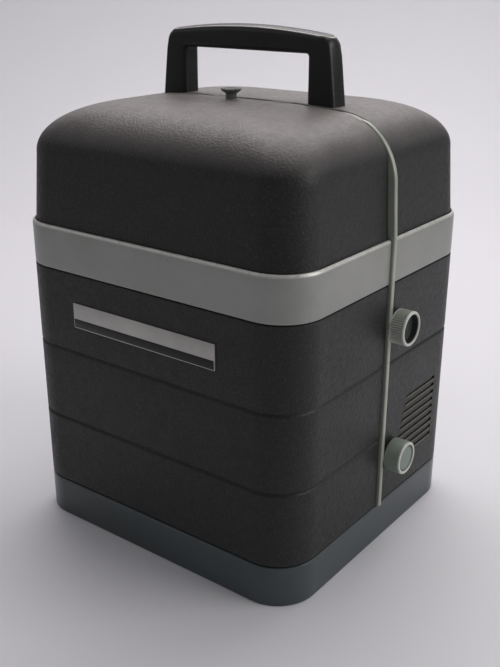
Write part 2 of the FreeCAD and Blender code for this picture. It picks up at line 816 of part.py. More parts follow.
# Cover catch: button, bush, catch, its spring and bracket, and the keeper on the plate
latch_at = ("latch_x", "-latch_y")
bush = cut(joined([rod("Z", ("case_top+0.05", "case_top+bush_rise"), latch_at, "bush_flange"),
                   rod("Z", ("case_top-bush_length", "case_top+bush_rise"), latch_at,
                       "bush_radius")]),
           rod("Z", ("case_top-bush_length-1", "case_top+5"), latch_at,
               "latch_stem_radius+fit_gap"))
sub_part("latch_bush", bush)

button = turned("latch_button", "Z", "catch_top-catch_thick", latch_at,
                [("0", "0"), ("0", "latch_stem_radius-1.5"),
                 ("catch_thick", "latch_stem_radius-1.5"), ("catch_thick", "latch_stem_radius"),
                 ("latch_head_base-catch_top+catch_thick", "latch_stem_radius"),
                 ("latch_head_base-catch_top+catch_thick", "latch_head_radius-0.8"),
                 ("latch_head_base-catch_top+catch_thick+latch_head_height/2",
                  "latch_head_radius"),
                 ("latch_head_base-catch_top+catch_thick+latch_head_height",
                  "latch_head_radius-0.6"),
                 ("latch_head_base-catch_top+catch_thick+latch_head_height", "0")])
sub_part("latch_button", button)

catch_plate = block(("latch_x-catch_half", "latch_x+catch_half"),
                    ("-latch_y-7", "-plate_half-keeper_depth-0.4"),
                    ("catch_top-catch_thick", "catch_top"))
sub_part("latch_catch", cut(catch_plate, rod("Z", ("catch_top-10", "catch_top+5"), latch_at,
                                             "latch_stem_radius-1.5+fit_gap")))
spring_floor = "(catch_top-catch_thick-spring_length)"
bracket_half = "(catch_half+2+bracket_sheet)"
bracket_under = "(case_top-wall)"
bracket_y = ("-latch_y-5.5", "-latch_y+4")
leg_z = (spring_floor + "-bracket_sheet", bracket_under)
spring_bracket = joined([
    block(("latch_x-" + bracket_half, "latch_x+" + bracket_half), bracket_y,
          (spring_floor + "-bracket_sheet", spring_floor)),
    block(("latch_x-" + bracket_half, "latch_x-catch_half-2"), bracket_y, leg_z),
    block(("latch_x+catch_half+2", "latch_x+" + bracket_half), bracket_y, leg_z),
])
sub_part("spring_bracket", spring_bracket)


def coil_spring(mean_radius, wire, turns, length):
    """An open coil about Z from the floor up: an eight-sided wire carried along a helix."""
    helix = Part.makeHelix((length - wire) / turns, length - wire, mean_radius)
    angles = [math.radians(22.5 + 45 * side) for side in range(9)]
    corners = [Vector(mean_radius + wire / 2 * math.cos(angle), 0, wire / 2 * math.sin(angle))
               for angle in angles]
    profile = Part.makePolygon(corners)
    return Part.Wire(helix).makePipeShell([profile], True, True)


spring = doc.addObject("Part::Feature", "spring")
spring.Shape = coil_spring(number("spring_radius"), number("spring_wire"),
                           number("spring_turns"), number("spring_length-0.2"))
place(spring, "latch_x", "-latch_y", spring_floor + "+spring_wire/2+0.1", FreeCAD.Rotation())
sub_part("latch_spring", spring)

# Handle: an arch that stands in two slots of the rear shell, screwed to the plate
handle_outer = "(handle_half+handle_flare)"
handle_inner = "(handle_half-handle_leg)"
flare_height = "(case_top-4)"
handle_top = "(case_top+handle_rise)"
handle_under = "(%s-handle_grip)" % handle_top
handle_root = "(case_top-handle_sink)"
arch = plate_body("handle_arch", "XZ_Plane",
                  [("-" + handle_outer, handle_root), ("-" + handle_inner, handle_root),
                   ("-" + handle_inner, handle_under), (handle_inner, handle_under),
                   (handle_inner, handle_root), (handle_outer, handle_root),
                   (handle_outer, flare_height), ("handle_half", handle_under),
                   ("handle_half", handle_top + "+2"), ("-handle_half", handle_top + "+2"),
                   ("-handle_half", handle_under), ("-" + handle_outer, flare_height)],
                  "handle_depth")
place(arch, "handle_x", "handle_front+handle_depth", "0")
doc.recompute()
under_z = number(handle_under)
between_legs = number("handle_half-handle_leg/2")
round_edges(arch, "handle_inner_round",
            lambda middle, way: abs(way.y) > 0.99 and abs(middle.z - under_z) < 0.5
            and abs(middle.x) < between_legs)
crown_radius = "((handle_half^2+handle_drop^2)/(2*handle_drop))"
crown_rod = rod("Y", ("handle_front-5", "handle_front+handle_depth+5"),
                ("handle_x", handle_top + "-" + crown_radius), crown_radius)
corner_centre = "(handle_half-handle_round)"
corner_height = "(%s-handle_drop-handle_round+0.6)" % handle_top
corner_cuts = []
for side in (-1, 1):
    middle_x = "(handle_x%+d*%s)" % (side, corner_centre)
    low, high = (middle_x, "case_width") if side > 0 else ("-case_width", middle_x)
    square = block((low, high), ("0", "40"), (corner_height, handle_top + "+20"))
    disc = rod("Y", ("-1", "41"), (middle_x, corner_height), "handle_round")
    corner_cuts.append(cut(square, disc))
handle_holes = [rod("Y", ("0", "handle_front+screw_length"), place_xz, "screw_radius+fit_gap")
                for place_xz in leg_screws]


def oval(inset, low, high):
    """A long oval seen from above, about the middle of the grip."""
    depth = "(handle_depth-2*(%s))" % inset
    outline = plan_outline("2*(handle_half-handle_round)-2*(%s)" % inset, depth,
                           "0.48*" + depth, low)
    outline.setExpression("Placement.Base.x", sized("handle_x"))
    outline.setExpression("Placement.Base.y", sized("handle_front+handle_depth/2"))
    return upright(outline, low, high)


oval_loop = cut(oval("stripe_inset", handle_under + "+5", handle_top + "+5"),
                oval("stripe_inset+stripe_width", handle_under + "+4", handle_top + "+6"))
crown_inside = rod("Y", ("0", "40"), ("handle_x", handle_top + "-" + crown_radius),
                   crown_radius + "-stripe_thick")
crown_outside = rod("Y", ("0", "40"), ("handle_x", handle_top + "-" + crown_radius),
                    crown_radius)
stripe = cut(shared(oval_loop, crown_outside), crown_inside)
sub_part("handle_stripe", stripe)
sub_part("handle", cut(shared(arch, crown_rod), *corner_cuts, *handle_holes, stripe))

# Screws through the plate into the rear shell and the handle
plate_front = "-plate_half-screw_head_height"
case_screws = [screw("Y", plate_front, place_xz, 1) for place_xz in shell_screws + leg_screws]
sheet_screws = [screw("Z", "foot_height+1-screw_head_height", place_xy, 1)
                for place_xy in boss_places]
sub_part("case_screws", group(case_screws + sheet_screws))

# Main shaft with all that turns on it
main_at = ("shaft_y", "inching_z")
knob_start = "(case_width/2-wall-1)"
hub_run = "(wall+1+knob_stand)"
knob_outline = [("0", "shaft_radius+fit_gap"), ("0", "knob_hub"), (hub_run, "knob_hub"),
                (hub_run, "knob_radius-0.8"), (hub_run + "+1", "knob_radius"),
                (hub_run + "+knob_length-1", "knob_radius"),
                (hub_run + "+knob_length", "knob_radius-1"),
                (hub_run + "+knob_length", "knob_recess_radius"),
                (hub_run + "+knob_length-knob_recess", "knob_recess_radius-0.6"),
                (hub_run + "+knob_length-knob_recess", "shaft_radius+fit_gap")]
inching_knob = turned("inching_knob", "X", knob_start, main_at, knob_outline)
cut_round(inching_knob, "YZ_Plane",
          lambda sketch: draw_circle(sketch, "knob_radius+0.2", "0", "knob_rib_radius"),
          "knob_ribs")
doc.recompute()
sub_part("inching_knob", inching_knob)

shaft_end = "(%s+%s+knob_length-knob_recess-0.5)" % (knob_start, hub_run)
worm_low, worm_high = "sprocket_x-9", "sprocket_x+9"
pulley_x = ("-pulley_x", "-pulley_x+pulley_width")
pulley = cut(rod("X", pulley_x, main_at, "main_pulley"),
             tube("X", ("-pulley_x+1", "-pulley_x+pulley_width-1"), main_at, "main_pulley+1",
                  "main_pulley-belt_thick-0.4"))
sub_part("main_shaft", joined([rod("X", ("-shaft_left", shaft_end), main_at, "shaft_radius"),
                               rod("X", (worm_low, worm_high), main_at, "worm_radius"),
                               pulley]))

shutter = turned("shutter", "X", "shutter_x", main_at,
                 [("0", "shaft_radius+fit_gap"), ("0", "shutter_radius"),
                  ("shutter_thick", "shutter_radius"), ("shutter_thick", "shutter_hub"),
                  ("shutter_thick+4", "shutter_hub"), ("shutter_thick+4", "shaft_radius+fit_gap")])
cut_round(shutter, "YZ_Plane",
          lambda sketch: draw_outline(sketch, [("shutter_hub*2.4", "-shutter_hub"),
                                               ("shutter_radius+1", "-shutter_radius*0.36"),
                                               ("shutter_radius+1", "shutter_radius*0.36"),
                                               ("shutter_hub*2.4", "shutter_hub")]), "3")
doc.recompute()
sub_part("shutter", shutter)

cam_across = ("shaft_y+cam_throw", "inching_z")
cam = cut(joined([rod("X", ("cam_x", "cam_x+cam_width"), cam_across, "cam_radius")]),
          rod("X", ("cam_x-1", "cam_x+cam_width+1"), main_at, "shaft_radius+fit_gap"))
sub_part("claw_cam", cam)

bearings = []
for low in ("-bearing_left", "bearing_right"):
    housing = block((low, low + "+bearing_width"), ("plate_half", "shaft_y+bearing_height/2"),
                    ("inching_z-bearing_height/2", "inching_z+bearing_height/2"))
    bore = rod("X", (low + "-1", low + "+bearing_width+1"), main_at, "shaft_radius+fit_gap")
    bearings.append(cut(housing, bore))
sub_part("shaft_bearings", group(bearings))

# The claw stands still at mid stroke: a ring round the cam, an arm and a tip behind the gate
ring_inside = "(cam_radius+cam_throw+0.5)"
claw_x = ("cam_x+1", "cam_x+cam_width-1")
ring_bottom = "(inching_z-%s-claw_ring)" % ring_inside
arm_z = ("inching_z-claw_drop-claw_height+0.5", "inching_z-claw_drop-0.5")
claw = cut(joined([
    rod("X", claw_x, main_at, ring_inside + "+claw_ring"),
    block(claw_x, ("shaft_y-3", "shaft_y+3"), (arm_z[0], ring_bottom + "+2")),
    block(claw_x, ("-film_y-6", "shaft_y+3"), arm_z),
    block(("cam_x+1", "gate_x-gate_sheet-part_gap"), ("-film_y-6", "-film_y-4"), arm_z)]),
    rod("X", ("cam_x-1", "cam_x+cam_width+1"), main_at, ring_inside))
sub_part("film_claw", claw)

# Gate: aperture plate, sprung pressure plate, lens holder, lens and focus knob
light_at = ("-film_y", "inching_z")
aperture_sheet = block(("gate_x-gate_sheet", "gate_x"), ("-gate_front", "-plate_half"),
                       ("inching_z-gate_half", "inching_z+gate_half"))
aperture = block(("gate_x-5", "gate_x+5"),
                 ("-film_y-aperture_width/2", "-film_y+aperture_width/2"),
                 ("inching_z-aperture_height/2", "inching_z+aperture_height/2"))
sub_part("aperture_plate", cut(aperture_sheet, aperture))

pin_places = [("-film_y", "inching_z%+d*(%s+3)" % (side, HOLDER_RADIUS)) for side in (-1, 1)]
pressure_x = ("gate_x+part_gap", "gate_x+part_gap+pressure_sheet")
pressure_parts = [block(pressure_x, ("-film_y-6", "-film_y+6"),
                        ("inching_z-pressure_half", "inching_z+pressure_half"))]
pressure_parts += [rod("X", (pressure_x[1], "holder_start+8"), at, "pin_radius")
                   for at in pin_places]
picture_hole = rod("X", ("gate_x-2", "gate_x+4"), light_at, "aperture_width")
sub_part("pressure_plate", cut(joined(pressure_parts), picture_hole))

holder_x = ("holder_start", "holder_start+holder_length")
holder_parts = [rod("X", holder_x, light_at, HOLDER_RADIUS),
                block(("holder_start+3", "holder_start+holder_length-3"),
                      ("-film_y+8", "-plate_half"), ("inching_z-7", "inching_z+7"))]
holder_parts += [block(("holder_start", "holder_start+6"), ("-film_y-3", "-film_y+3"),
                       ("inching_z%+d*(%s+1)-5" % (side, HOLDER_RADIUS),
                        "inching_z%+d*(%s+1)+5" % (side, HOLDER_RADIUS))) for side in (-1, 1)]
focus_z = "(inching_z-lens_radius-focus_roller-0.2)"
holder_parts.append(block(("focus_x-5", "focus_x+5"), ("-film_y-15", "-film_y-7"),
                          (focus_z + "-5", "inching_z-6")))
holder_cuts = [rod("X", ("holder_start-1", "holder_start+holder_length+1"), light_at,
                   "lens_radius+fit_gap"),
               rod("Y", ("-film_y-20", "-film_y+6"), ("focus_x", focus_z), "2+fit_gap"),
               block(("focus_x-focus_roller-0.6", "focus_x+focus_roller+0.6"),
                     ("-film_y-6", "-film_y+6"),
                     ("inching_z-%s-8" % HOLDER_RADIUS, "inching_z-8"))]
holder_cuts += [rod("X", ("holder_start-1", "holder_start+9"), at, "pin_radius+fit_gap")
                for at in pin_places]
sub_part("lens_holder", cut(joined(holder_parts), *holder_cuts))

lens = turned("lens_barrel", "X", "lens_start", light_at,
              [("0", "lens_bore-2"), ("0", "lens_radius-1"), ("1", "lens_radius"),
               ("lens_length-lens_rim_length", "lens_radius"),
               ("lens_length-lens_rim_length", "lens_rim"), ("lens_length-1", "lens_rim"),
               ("lens_length", "lens_rim-1"), ("lens_length", "lens_bore+1"),
               ("lens_length-4", "lens_bore"), ("3", "lens_bore"), ("3", "lens_bore-2")])
sub_part("lens_barrel", lens)


def lens_disc(start, radius, thick, bulge):
    """A glass with one bulging face, turned about the light's axis."""
    return turned("glass", "X", start, light_at,
                  [("0", "0"), ("0", radius), (thick, radius),
                   ("%s+%s*0.55" % (thick, bulge), "(%s)*0.66" % radius),
                   ("%s+%s" % (thick, bulge), "(%s)*0.2" % radius),
                   ("%s+%s" % (thick, bulge), "0")])


rear_glass = lens_disc("lens_start+3.05", "lens_bore-fit_gap", "3", "2")
front_glass = lens_disc("lens_start+lens_length-12", "lens_bore-fit_gap", "4", "3")
sub_part("lens_glass", group([rear_glass, front_glass]))

focus = turned("focus_knob", "Y", "-film_y-26", ("focus_x", focus_z),
               [("0", "0"), ("0", "focus_knob_radius-1"), ("1", "focus_knob_radius"),
                ("7", "focus_knob_radius"), ("7", "2"), ("22", "2"), ("22", "focus_roller"),
                ("29", "focus_roller"), ("29", "0")])
sub_part("focus_knob", focus)

# Lamp house in front of the plate, open to it, with the lamp and the condenser
house_outer = block(("-lamp_left", "lamp_right"), ("-lamp_front", "-plate_half"),
                    ("inching_z-lamp_half", "inching_z+lamp_half"))
house_inner = block(("-lamp_left+lamp_sheet", "lamp_right-lamp_sheet"),
                    ("-lamp_front+lamp_sheet", "-plate_half+1"),
                    ("inching_z-lamp_half+lamp_sheet", "inching_z+lamp_half-lamp_sheet"))
house_light = rod("X", ("lamp_right-3", "lamp_right+3"), light_at, "condenser_radius+fit_gap")
house_vents = [block(("-lamp_left+8+%d*6" % step, "-lamp_left+11+%d*6" % step),
                     ("-lamp_front+10", "-lamp_front+40"),
                     ("inching_z+lamp_half-3", "inching_z+lamp_half+3")) for step in range(6)]
sub_part("lamp_house", cut(house_outer, house_inner, house_light, *house_vents))

condenser = turned("condenser_lens", "X", "lamp_right-5", light_at,
                   [("0", "0"), ("0", "condenser_radius*0.7"), ("2", "condenser_radius"),
                    ("5.5", "condenser_radius"), ("6.6", "condenser_radius*0.6"), ("6.6", "0")])
sub_part("condenser_lens", condenser)

lamp_start = "(-lamp_mouth_x-lamp_bowl_depth-8)"
bowl_end = "(8+lamp_bowl_depth)"
lamp = turned("projection_lamp", "X", lamp_start, light_at,
              [("0", "0"), ("0", "6"), ("8", "6.5"), ("10", "lamp_bowl*0.5"),
               ("15", "lamp_bowl*0.76"), ("22", "lamp_bowl*0.92"), (bowl_end, "lamp_bowl"),
               (bowl_end, "lamp_bowl-1.4"), ("22", "lamp_bowl*0.92-1.6"),
               ("15", "lamp_bowl*0.76-1.8"), ("10.5", "lamp_bowl*0.5-2.4"), ("10.5", "4.5"),
               ("22", "4.5"), ("24.5", "1.5"), ("24.5", "0")])
sub_part("projection_lamp", lamp)
sub_part("lamp_socket", block(("-lamp_left+lamp_sheet", lamp_start),
                              ("-film_y-8", "-film_y+8"), ("inching_z-9", "inching_z+9")))

# Sprockets in front of the plate and their wheels behind it
wheel_y = ("shaft_y-wheel_width/2", "shaft_y+wheel_width/2")
for label, height in (("feed", UPPER_SPROCKET), ("takeup", LOWER_SPROCKET)):
    at = ("sprocket_x", height)
    drum_start = "-film_y-sprocket_width/2"
    drum = turned(label + "_sprocket", "Y", drum_start, at,
                  [("0", "0"), ("0", "sprocket_radius+1"), ("1", "sprocket_radius+1"),
                   ("1", "sprocket_radius"), ("sprocket_width-1", "sprocket_radius"),
                   ("sprocket_width-1", "sprocket_radius+1"),
                   ("sprocket_width", "sprocket_radius+1"), ("sprocket_width", "spindle_radius"),
                   ("film_y+sprocket_width/2+shaft_y+wheel_width/2+2", "spindle_radius"),
                   ("film_y+sprocket_width/2+shaft_y+wheel_width/2+2", "0")])
    cut_round(drum, "YZ_Plane",
              lambda sketch: draw_circle(sketch, "sprocket_radius+1.2", "0", "0.9"),
              "sprocket_teeth")
    doc.recompute()
    sub_part(label + "_sprocket", drum)
    wheel = turned(label + "_wheel", "Y", wheel_y[0], at,
                   [("0", "spindle_radius+fit_gap"), ("0", "7"), ("1.5", "8"),
                    ("1.5", "wheel_radius-5"), ("0", "wheel_radius-4"), ("0", "wheel_radius"),
                    ("wheel_width", "wheel_radius"), ("wheel_width", "wheel_radius-4"),
                    ("wheel_width-1.5", "wheel_radius-5"), ("wheel_width-1.5", "8"),
                    ("wheel_width", "7"), ("wheel_width", "spindle_radius+fit_gap")])
    cut_round(wheel, "YZ_Plane",
              lambda sketch: draw_outline(sketch, [("wheel_radius-wheel_tooth", "-0.55"),
                                                   ("wheel_radius+1", "-1.2"),
                                                   ("wheel_radius+1", "1.2"),
                                                   ("wheel_radius-wheel_tooth", "0.55")]),
              "wheel_teeth")
    doc.recompute()
    sub_part(label + "_wheel", wheel)

guides = []
for sign, height in ((1, UPPER_SPROCKET), (-1, LOWER_SPROCKET)):
    reach = "(sprocket_radius+1+guide_gap)"
    across = ("sprocket_x", height)
    span = ("-film_y-5", "-film_y+5")
    arc = cut(rod("Y", span, across, reach + "+guide_thick"), rod("Y", span, across, reach))
    half_z = ((height, height + "+40") if sign > 0 else (height + "-40", height))
    part_ring = shared(arc, block(("sprocket_x-40", "sprocket_x+40"), ("-film_y-9", "0"), half_z))
    post_z = ("%s+%s+0.5" % (height, reach), "%s+%s+guide_thick+3" % (height, reach))
    if sign < 0:
        post_z = ("%s-%s-guide_thick-3" % (height, reach), "%s-%s-0.5" % (height, reach))
    post = block(("sprocket_x-3", "sprocket_x+3"), ("-film_y-5", "-plate_half"), post_z)
    guides.append(joined([part_ring, post]))
sub_part("film_guides", group(guides))

# Supply arm on its stud, and the spindle at its end
arm_end = "(-arm_x+arm_length)"
arm_y = ("-arm_rear-arm_thick", "-arm_rear")
arm = cut(joined([rod("Y", (arm_y[0], "-plate_half-part_gap"), ("-arm_x", "arm_z"), "arm_hub"),
                  rod("Y", (arm_y[0], "-arm_rear+2"), (arm_end, "arm_z"), "arm_hub"),
                  block(("-arm_x", arm_end), arm_y, ("arm_z-arm_hub*0.8", "arm_z+arm_hub*0.8"))]),
          rod("Y", ("-30", "0"), ("-arm_x", "arm_z"), "arm_stud+fit_gap"),
          rod("Y", ("-30", "0"), (arm_end, "arm_z"), "spindle_radius+fit_gap"))
sub_part("supply_arm", arm)


def spindle_outline(tip, rear):
    """A reel spindle from its front tip back: nose, shaft, seat disc, shaft."""
    total = "(%s+(%s))" % (tip, rear)
    seat = "(%s-film_y+reel_width/2+0.2)" % tip
    return [("0", "0"), ("0", "1.6"), ("2", "spindle_radius"), (seat, "spindle_radius"),
            (seat, "seat_radius"), (seat + "+2", "seat_radius"), (seat + "+2", "spindle_radius"),
            (total, "spindle_radius"), (total, "0")]


sub_part("supply_spindle", turned("supply_spindle", "Y", "-spindle_tip", (arm_end, "arm_z"),
                                  spindle_outline("spindle_tip", "-arm_rear+4")))
sub_part("takeup_spindle", turned("takeup_spindle", "Y", "-spindle_tip", ("-reel_x", "reel_z"),
                                  spindle_outline("spindle_tip", "shaft_y+6")))
reel = turned("takeup_reel", "Y", "-film_y-reel_width/2", ("-reel_x", "reel_z"),
              [("0", "spindle_radius+fit_gap"), ("0", "reel_radius"),
               ("reel_flange", "reel_radius"), ("reel_flange", "reel_hub"),
               ("reel_width-reel_flange", "reel_hub"),
               ("reel_width-reel_flange", "reel_radius"), ("reel_width", "reel_radius"),
               ("reel_width", "spindle_radius+fit_gap")])
cut_round(reel, "YZ_Plane",
          lambda sketch: draw_circle(sketch, "(reel_radius+reel_hub)/2+1", "0", "reel_window"),
          "3")
doc.recompute()
sub_part("takeup_reel", reel)

# Motor, belt and fan
motor_at = (MOTOR_Y, "motor_z")
motor = turned("motor", "X", "motor_start", motor_at,
               [("0", "motor_shaft+1"), ("0", "motor_radius-3"), ("3", "motor_radius"),
                ("motor_length-3", "motor_radius"), ("motor_length", "motor_radius-3"),
                ("motor_length", "8"), ("motor_length+5", "8"), ("motor_length+5", "0"),
                ("motor_length-4", "0"), ("motor_length-4", "motor_shaft+1")])
sub_part("motor_can", motor)
motor_rotor = joined([rod("X", ("-fan_left-2", "motor_start+motor_length-5"), motor_at,
                          "motor_shaft")])
sub_part("motor_shaft", motor_rotor)
sub_part("motor_pulley", turned("motor_pulley", "X", "-pulley_x", motor_at,
                                [("0", "motor_shaft+fit_gap"), ("0", "motor_pulley"),
                                 ("1", "motor_pulley"), ("1", "motor_pulley-belt_thick-0.4"),
                                 ("pulley_width-1", "motor_pulley-belt_thick-0.4"),
                                 ("pulley_width-1", "motor_pulley"),
                                 ("pulley_width", "motor_pulley"),
                                 ("pulley_width", "motor_shaft+fit_gap")]))
bracket_span = ("bracket_x", "bracket_x+bracket_thick")
bracket_sheet = block(bracket_span, ("plate_half", MOTOR_Y + "+motor_radius"),
                      ("base_top", "motor_z+motor_radius"))
bracket_collar = rod("X", ("bracket_x+bracket_thick", "motor_start"), motor_at, "motor_shaft+5")
bracket_bore = rod("X", ("bracket_x-1", "motor_start+1"), motor_at, "motor_shaft+2")
sub_part("motor_bracket", cut(joined([bracket_sheet, bracket_collar]), bracket_bore))

fan = turned("fan_wheel", "X", "-fan_left+3", motor_at,
             [("0", "motor_shaft+fit_gap"), ("0", "fan_radius"), ("1.2", "fan_radius"),
              ("fan_left-fan_right-6", "fan_radius"), ("fan_left-fan_right-6", "fan_radius-7"),
              ("1.2", "fan_radius-7"), ("1.2", "6"), ("8", "6"),
              ("8", "motor_shaft+fit_gap")])
cut_round(fan, "YZ_Plane",
          lambda sketch: draw_outline(sketch, [("fan_radius-6", "-4.6"),
                                               ("fan_radius+1", "-7"),
                                               ("fan_radius+1", "4.2"),
                                               ("fan_radius-6", "4.2")]), "fan_blades")
doc.recompute()
sub_part("fan_wheel", fan)

fan_tube = tube("X", ("-fan_left", "-fan_right"), motor_at, "fan_shell", "fan_shell-1.5")
fan_cap = tube("X", ("-fan_left", "-fan_left+1.2"), motor_at, "fan_shell-1", "fan_radius-8")
fan_feet = block(("-fan_left", "-fan_right"), (MOTOR_Y + "-12", MOTOR_Y + "+12"),
                 ("base_top", "motor_z-fan_shell+3"))
sub_part("fan_housing", cut(joined([fan_tube, fan_cap, fan_feet]),
                            rod("X", ("-fan_left+1.2", "-fan_right+1"), motor_at,
                                "fan_shell-1.5")))


def belt_loop(first, first_radius, second, second_radius, sketch):
    """An outline of two arcs joined by two lines that touch both, about two pulleys."""
    centres = [Vector(number(y), number(z), 0) for y, z in (first, second)]
    radii = [number(first_radius), number(second_radius)]
    way = centres[1] - centres[0]
    lean = math.acos((radii[0] - radii[1]) / way.Length)
    base_angle = math.atan2(way.y, way.x)
    up, down = base_angle + lean, base_angle - lean

    def rim(index, angle):
        return centres[index] + Vector(math.cos(angle), math.sin(angle), 0) * radii[index]

    def arc(index, start, end):
        circle = Part.Circle(centres[index], Vector(0, 0, 1), radii[index])
        return Part.ArcOfCircle(circle, start, end)

    start = sketch.GeometryCount
    sketch.addGeometry([arc(0, up, down + 2 * math.pi), Part.LineSegment(rim(0, down), rim(1, down)),
                        arc(1, down, up), Part.LineSegment(rim(1, up), rim(0, up))], False)
    joints = ((0, 2, 1, 1), (1, 2, 2, 1), (2, 2, 3, 1), (3, 2, 0, 1))
    for piece, end, other, other_end in joints:
        sketch.addConstraint(Sketcher.Constraint("Tangent", start + piece, end,
                                                 start + other, other_end))
    for piece, (y, z), radius in ((0, first, first_radius), (2, second, second_radius)):
        tie_point(sketch, start + piece, 3, y, z)
        rule = sketch.addConstraint(Sketcher.Constraint("Radius", start + piece, number(radius)))
        sketch.setExpression("Constraints[%d]" % rule, sized(radius))


belt = new_body("drive_belt")
belt_sketch = new_sketch(belt, "YZ_Plane")
belt_loop(main_at, "main_pulley", motor_at, "motor_pulley", belt_sketch)
belt_loop(main_at, "main_pulley-belt_thick", motor_at, "motor_pulley-belt_thick", belt_sketch)
belt_pad = belt.newObject("PartDesign::Pad", "pad")
belt_pad.Profile = (belt_sketch, [""])
belt_pad.setExpression("Length", sized("pulley_width-2.6"))
belt.Tip = belt_pad
place(belt, "-pulley_x+1.3", "0", "0")
sub_part("drive_belt", belt)

# Transformer, power inlet and switch
core_x = ("-transformer_left", "-transformer_left+transformer_length")
core_y = (CORE_FRONT, CORE_FRONT + "+transformer_depth")
core_z = ("base_top", "base_top+transformer_height")
window_z = ("base_top+transformer_limb", "base_top+transformer_height-transformer_limb")
middle_y = "(%s+transformer_depth/2)" % CORE_FRONT
window_out = "transformer_depth/2-transformer_limb*0.7"
core_windows = [block(("-case_width", "0"), (CORE_FRONT + "+transformer_limb*0.7",
                                             middle_y + "-transformer_limb*0.6"), window_z),
                block(("-case_width", "0"), (middle_y + "+transformer_limb*0.6",
                                             middle_y + "+" + window_out), window_z)]
sub_part("transformer_core", cut(block(core_x, core_y, core_z), *core_windows))
coil_outer = block(("-transformer_left-3", "-transformer_left+transformer_length+3"),
                   (CORE_FRONT + "+transformer_limb*0.7+0.2",
                    middle_y + "+" + window_out + "-0.2"),
                   (window_z[0] + "+0.2", window_z[1] + "-0.2"))
coil_inner = block(("-transformer_left-0.2", "-transformer_left+transformer_length+0.2"),
                   (middle_y + "-transformer_limb*0.6-0.2",
                    middle_y + "+transformer_limb*0.6+0.2"),
                   ("base_top", "base_top+transformer_height"))
sub_part("transformer_coil", cut(coil_outer, coil_inner))

inlet_y = (BACK + "-inlet_depth", BACK)
inlet_box = block(("-inlet_x-inlet_width/2", "-inlet_x+inlet_width/2"), inlet_y,
                  ("inlet_z-inlet_height/2", "inlet_z+inlet_height/2"))
inlet_room = block(("-inlet_x-inlet_width/2+inlet_wall", "-inlet_x+inlet_width/2-inlet_wall"),
                   (BACK + "-inlet_depth+inlet_wall", BACK + "+1"),
                   ("inlet_z-inlet_height/2+inlet_wall", "inlet_z+inlet_height/2-inlet_wall"))
sub_part("power_inlet", cut(inlet_box, inlet_room))
pins = [rod("Y", (BACK + "-inlet_depth+inlet_wall", BACK + "-inlet_depth+inlet_wall+inlet_pin_length"),
            ("-inlet_x%+d*inlet_pin_pitch/2" % side, "inlet_z"), "pin_radius")
        for side in (-1, 1)]
sub_part("inlet_pins", group(pins))

control = turned("control_knob", "Y", "-plate_half-part_gap-14", ("switch_x", "switch_z"),
                 [("0", "0"), ("0", "switch_knob-1.5"), ("1.5", "switch_knob"),
                  ("9", "switch_knob"), ("14", "switch_knob+2"),
                  ("14", "spindle_radius"), ("14+2*plate_half+part_gap+1.5", "spindle_radius"),
                  ("14+2*plate_half+part_gap+1.5", "0")])
sub_part("control_knob", control)
switch_room = rod("Y", ("0", "plate_half+3"), ("switch_x", "switch_z"), "spindle_radius+fit_gap")
sub_part("switch_body", cut(block(("switch_x-11", "switch_x+11"), ("plate_half", "plate_half+16"),
                                  ("switch_z-11", "switch_z+11")), switch_room))

# Elevation knob, pinion, rack foot and their guide
lift_at = ("elevation_y", "elevation_z")
lift_outline = [("0", "shaft_radius+fit_gap"), ("0", "knob_hub"), (hub_run, "knob_hub"),
                (hub_run, "knob_radius-0.8"), (hub_run + "+1", "knob_radius"),
                (hub_run + "+knob_length-1", "knob_radius"),
                (hub_run + "+knob_length", "knob_radius-1"),
                (hub_run + "+knob_length", "knob_recess_radius+1"),
                (hub_run + "+knob_length-1", "knob_recess_radius+1"),
                (hub_run + "+knob_length-1", "shaft_radius+fit_gap")]
sub_part("elevation_knob", turned("elevation_knob", "X", knob_start, lift_at, lift_outline))

pinion = turned("elevation_pinion", "X", "rack_x", lift_at,
                [("0", "0"), ("0", "pinion_pitch+tooth_height/2"),
                 ("rack_width", "pinion_pitch+tooth_height/2"), ("rack_width", "shaft_radius"),
                 ("%s+%s+knob_length-1.5-rack_x" % (knob_start, hub_run), "shaft_radius"),
                 ("%s+%s+knob_length-1.5-rack_x" % (knob_start, hub_run), "0")])
tooth_space = "(pinion_pitch*sin(90 deg/pinion_teeth)*1.28)"
pinion_sketch = new_sketch(pinion, "YZ_Plane")
draw_outline(pinion_sketch,
             [("pinion_pitch-tooth_height*0.62", "-%s*0.62" % tooth_space),
              ("pinion_pitch+tooth_height", "-%s*1.5" % tooth_space),
              ("pinion_pitch+tooth_height", "%s*1.5" % tooth_space),
              ("pinion_pitch-tooth_height*0.62", "%s*0.62" % tooth_space)])
tooth_pocket = pinion.newObject("PartDesign::Pocket", "tooth_space")
tooth_pocket.Profile = (pinion_sketch, [""])
tooth_pocket.Type = "ThroughAll"
tooth_pocket.Midplane = True
pinion.Tip = tooth_pocket
doc.recompute()
pinion_pattern = pinion.newObject("PartDesign::PolarPattern", "teeth")
pinion_pattern.Originals = [tooth_pocket]
pinion_pattern.Axis = (pinion_sketch, ["N_Axis"])
pinion_pattern.Angle = 360
pinion_pattern.setExpression("Occurrences", sized("pinion_teeth"))
pinion.Tip = pinion_pattern
doc.recompute()
sub_part("elevation_pinion", pinion)

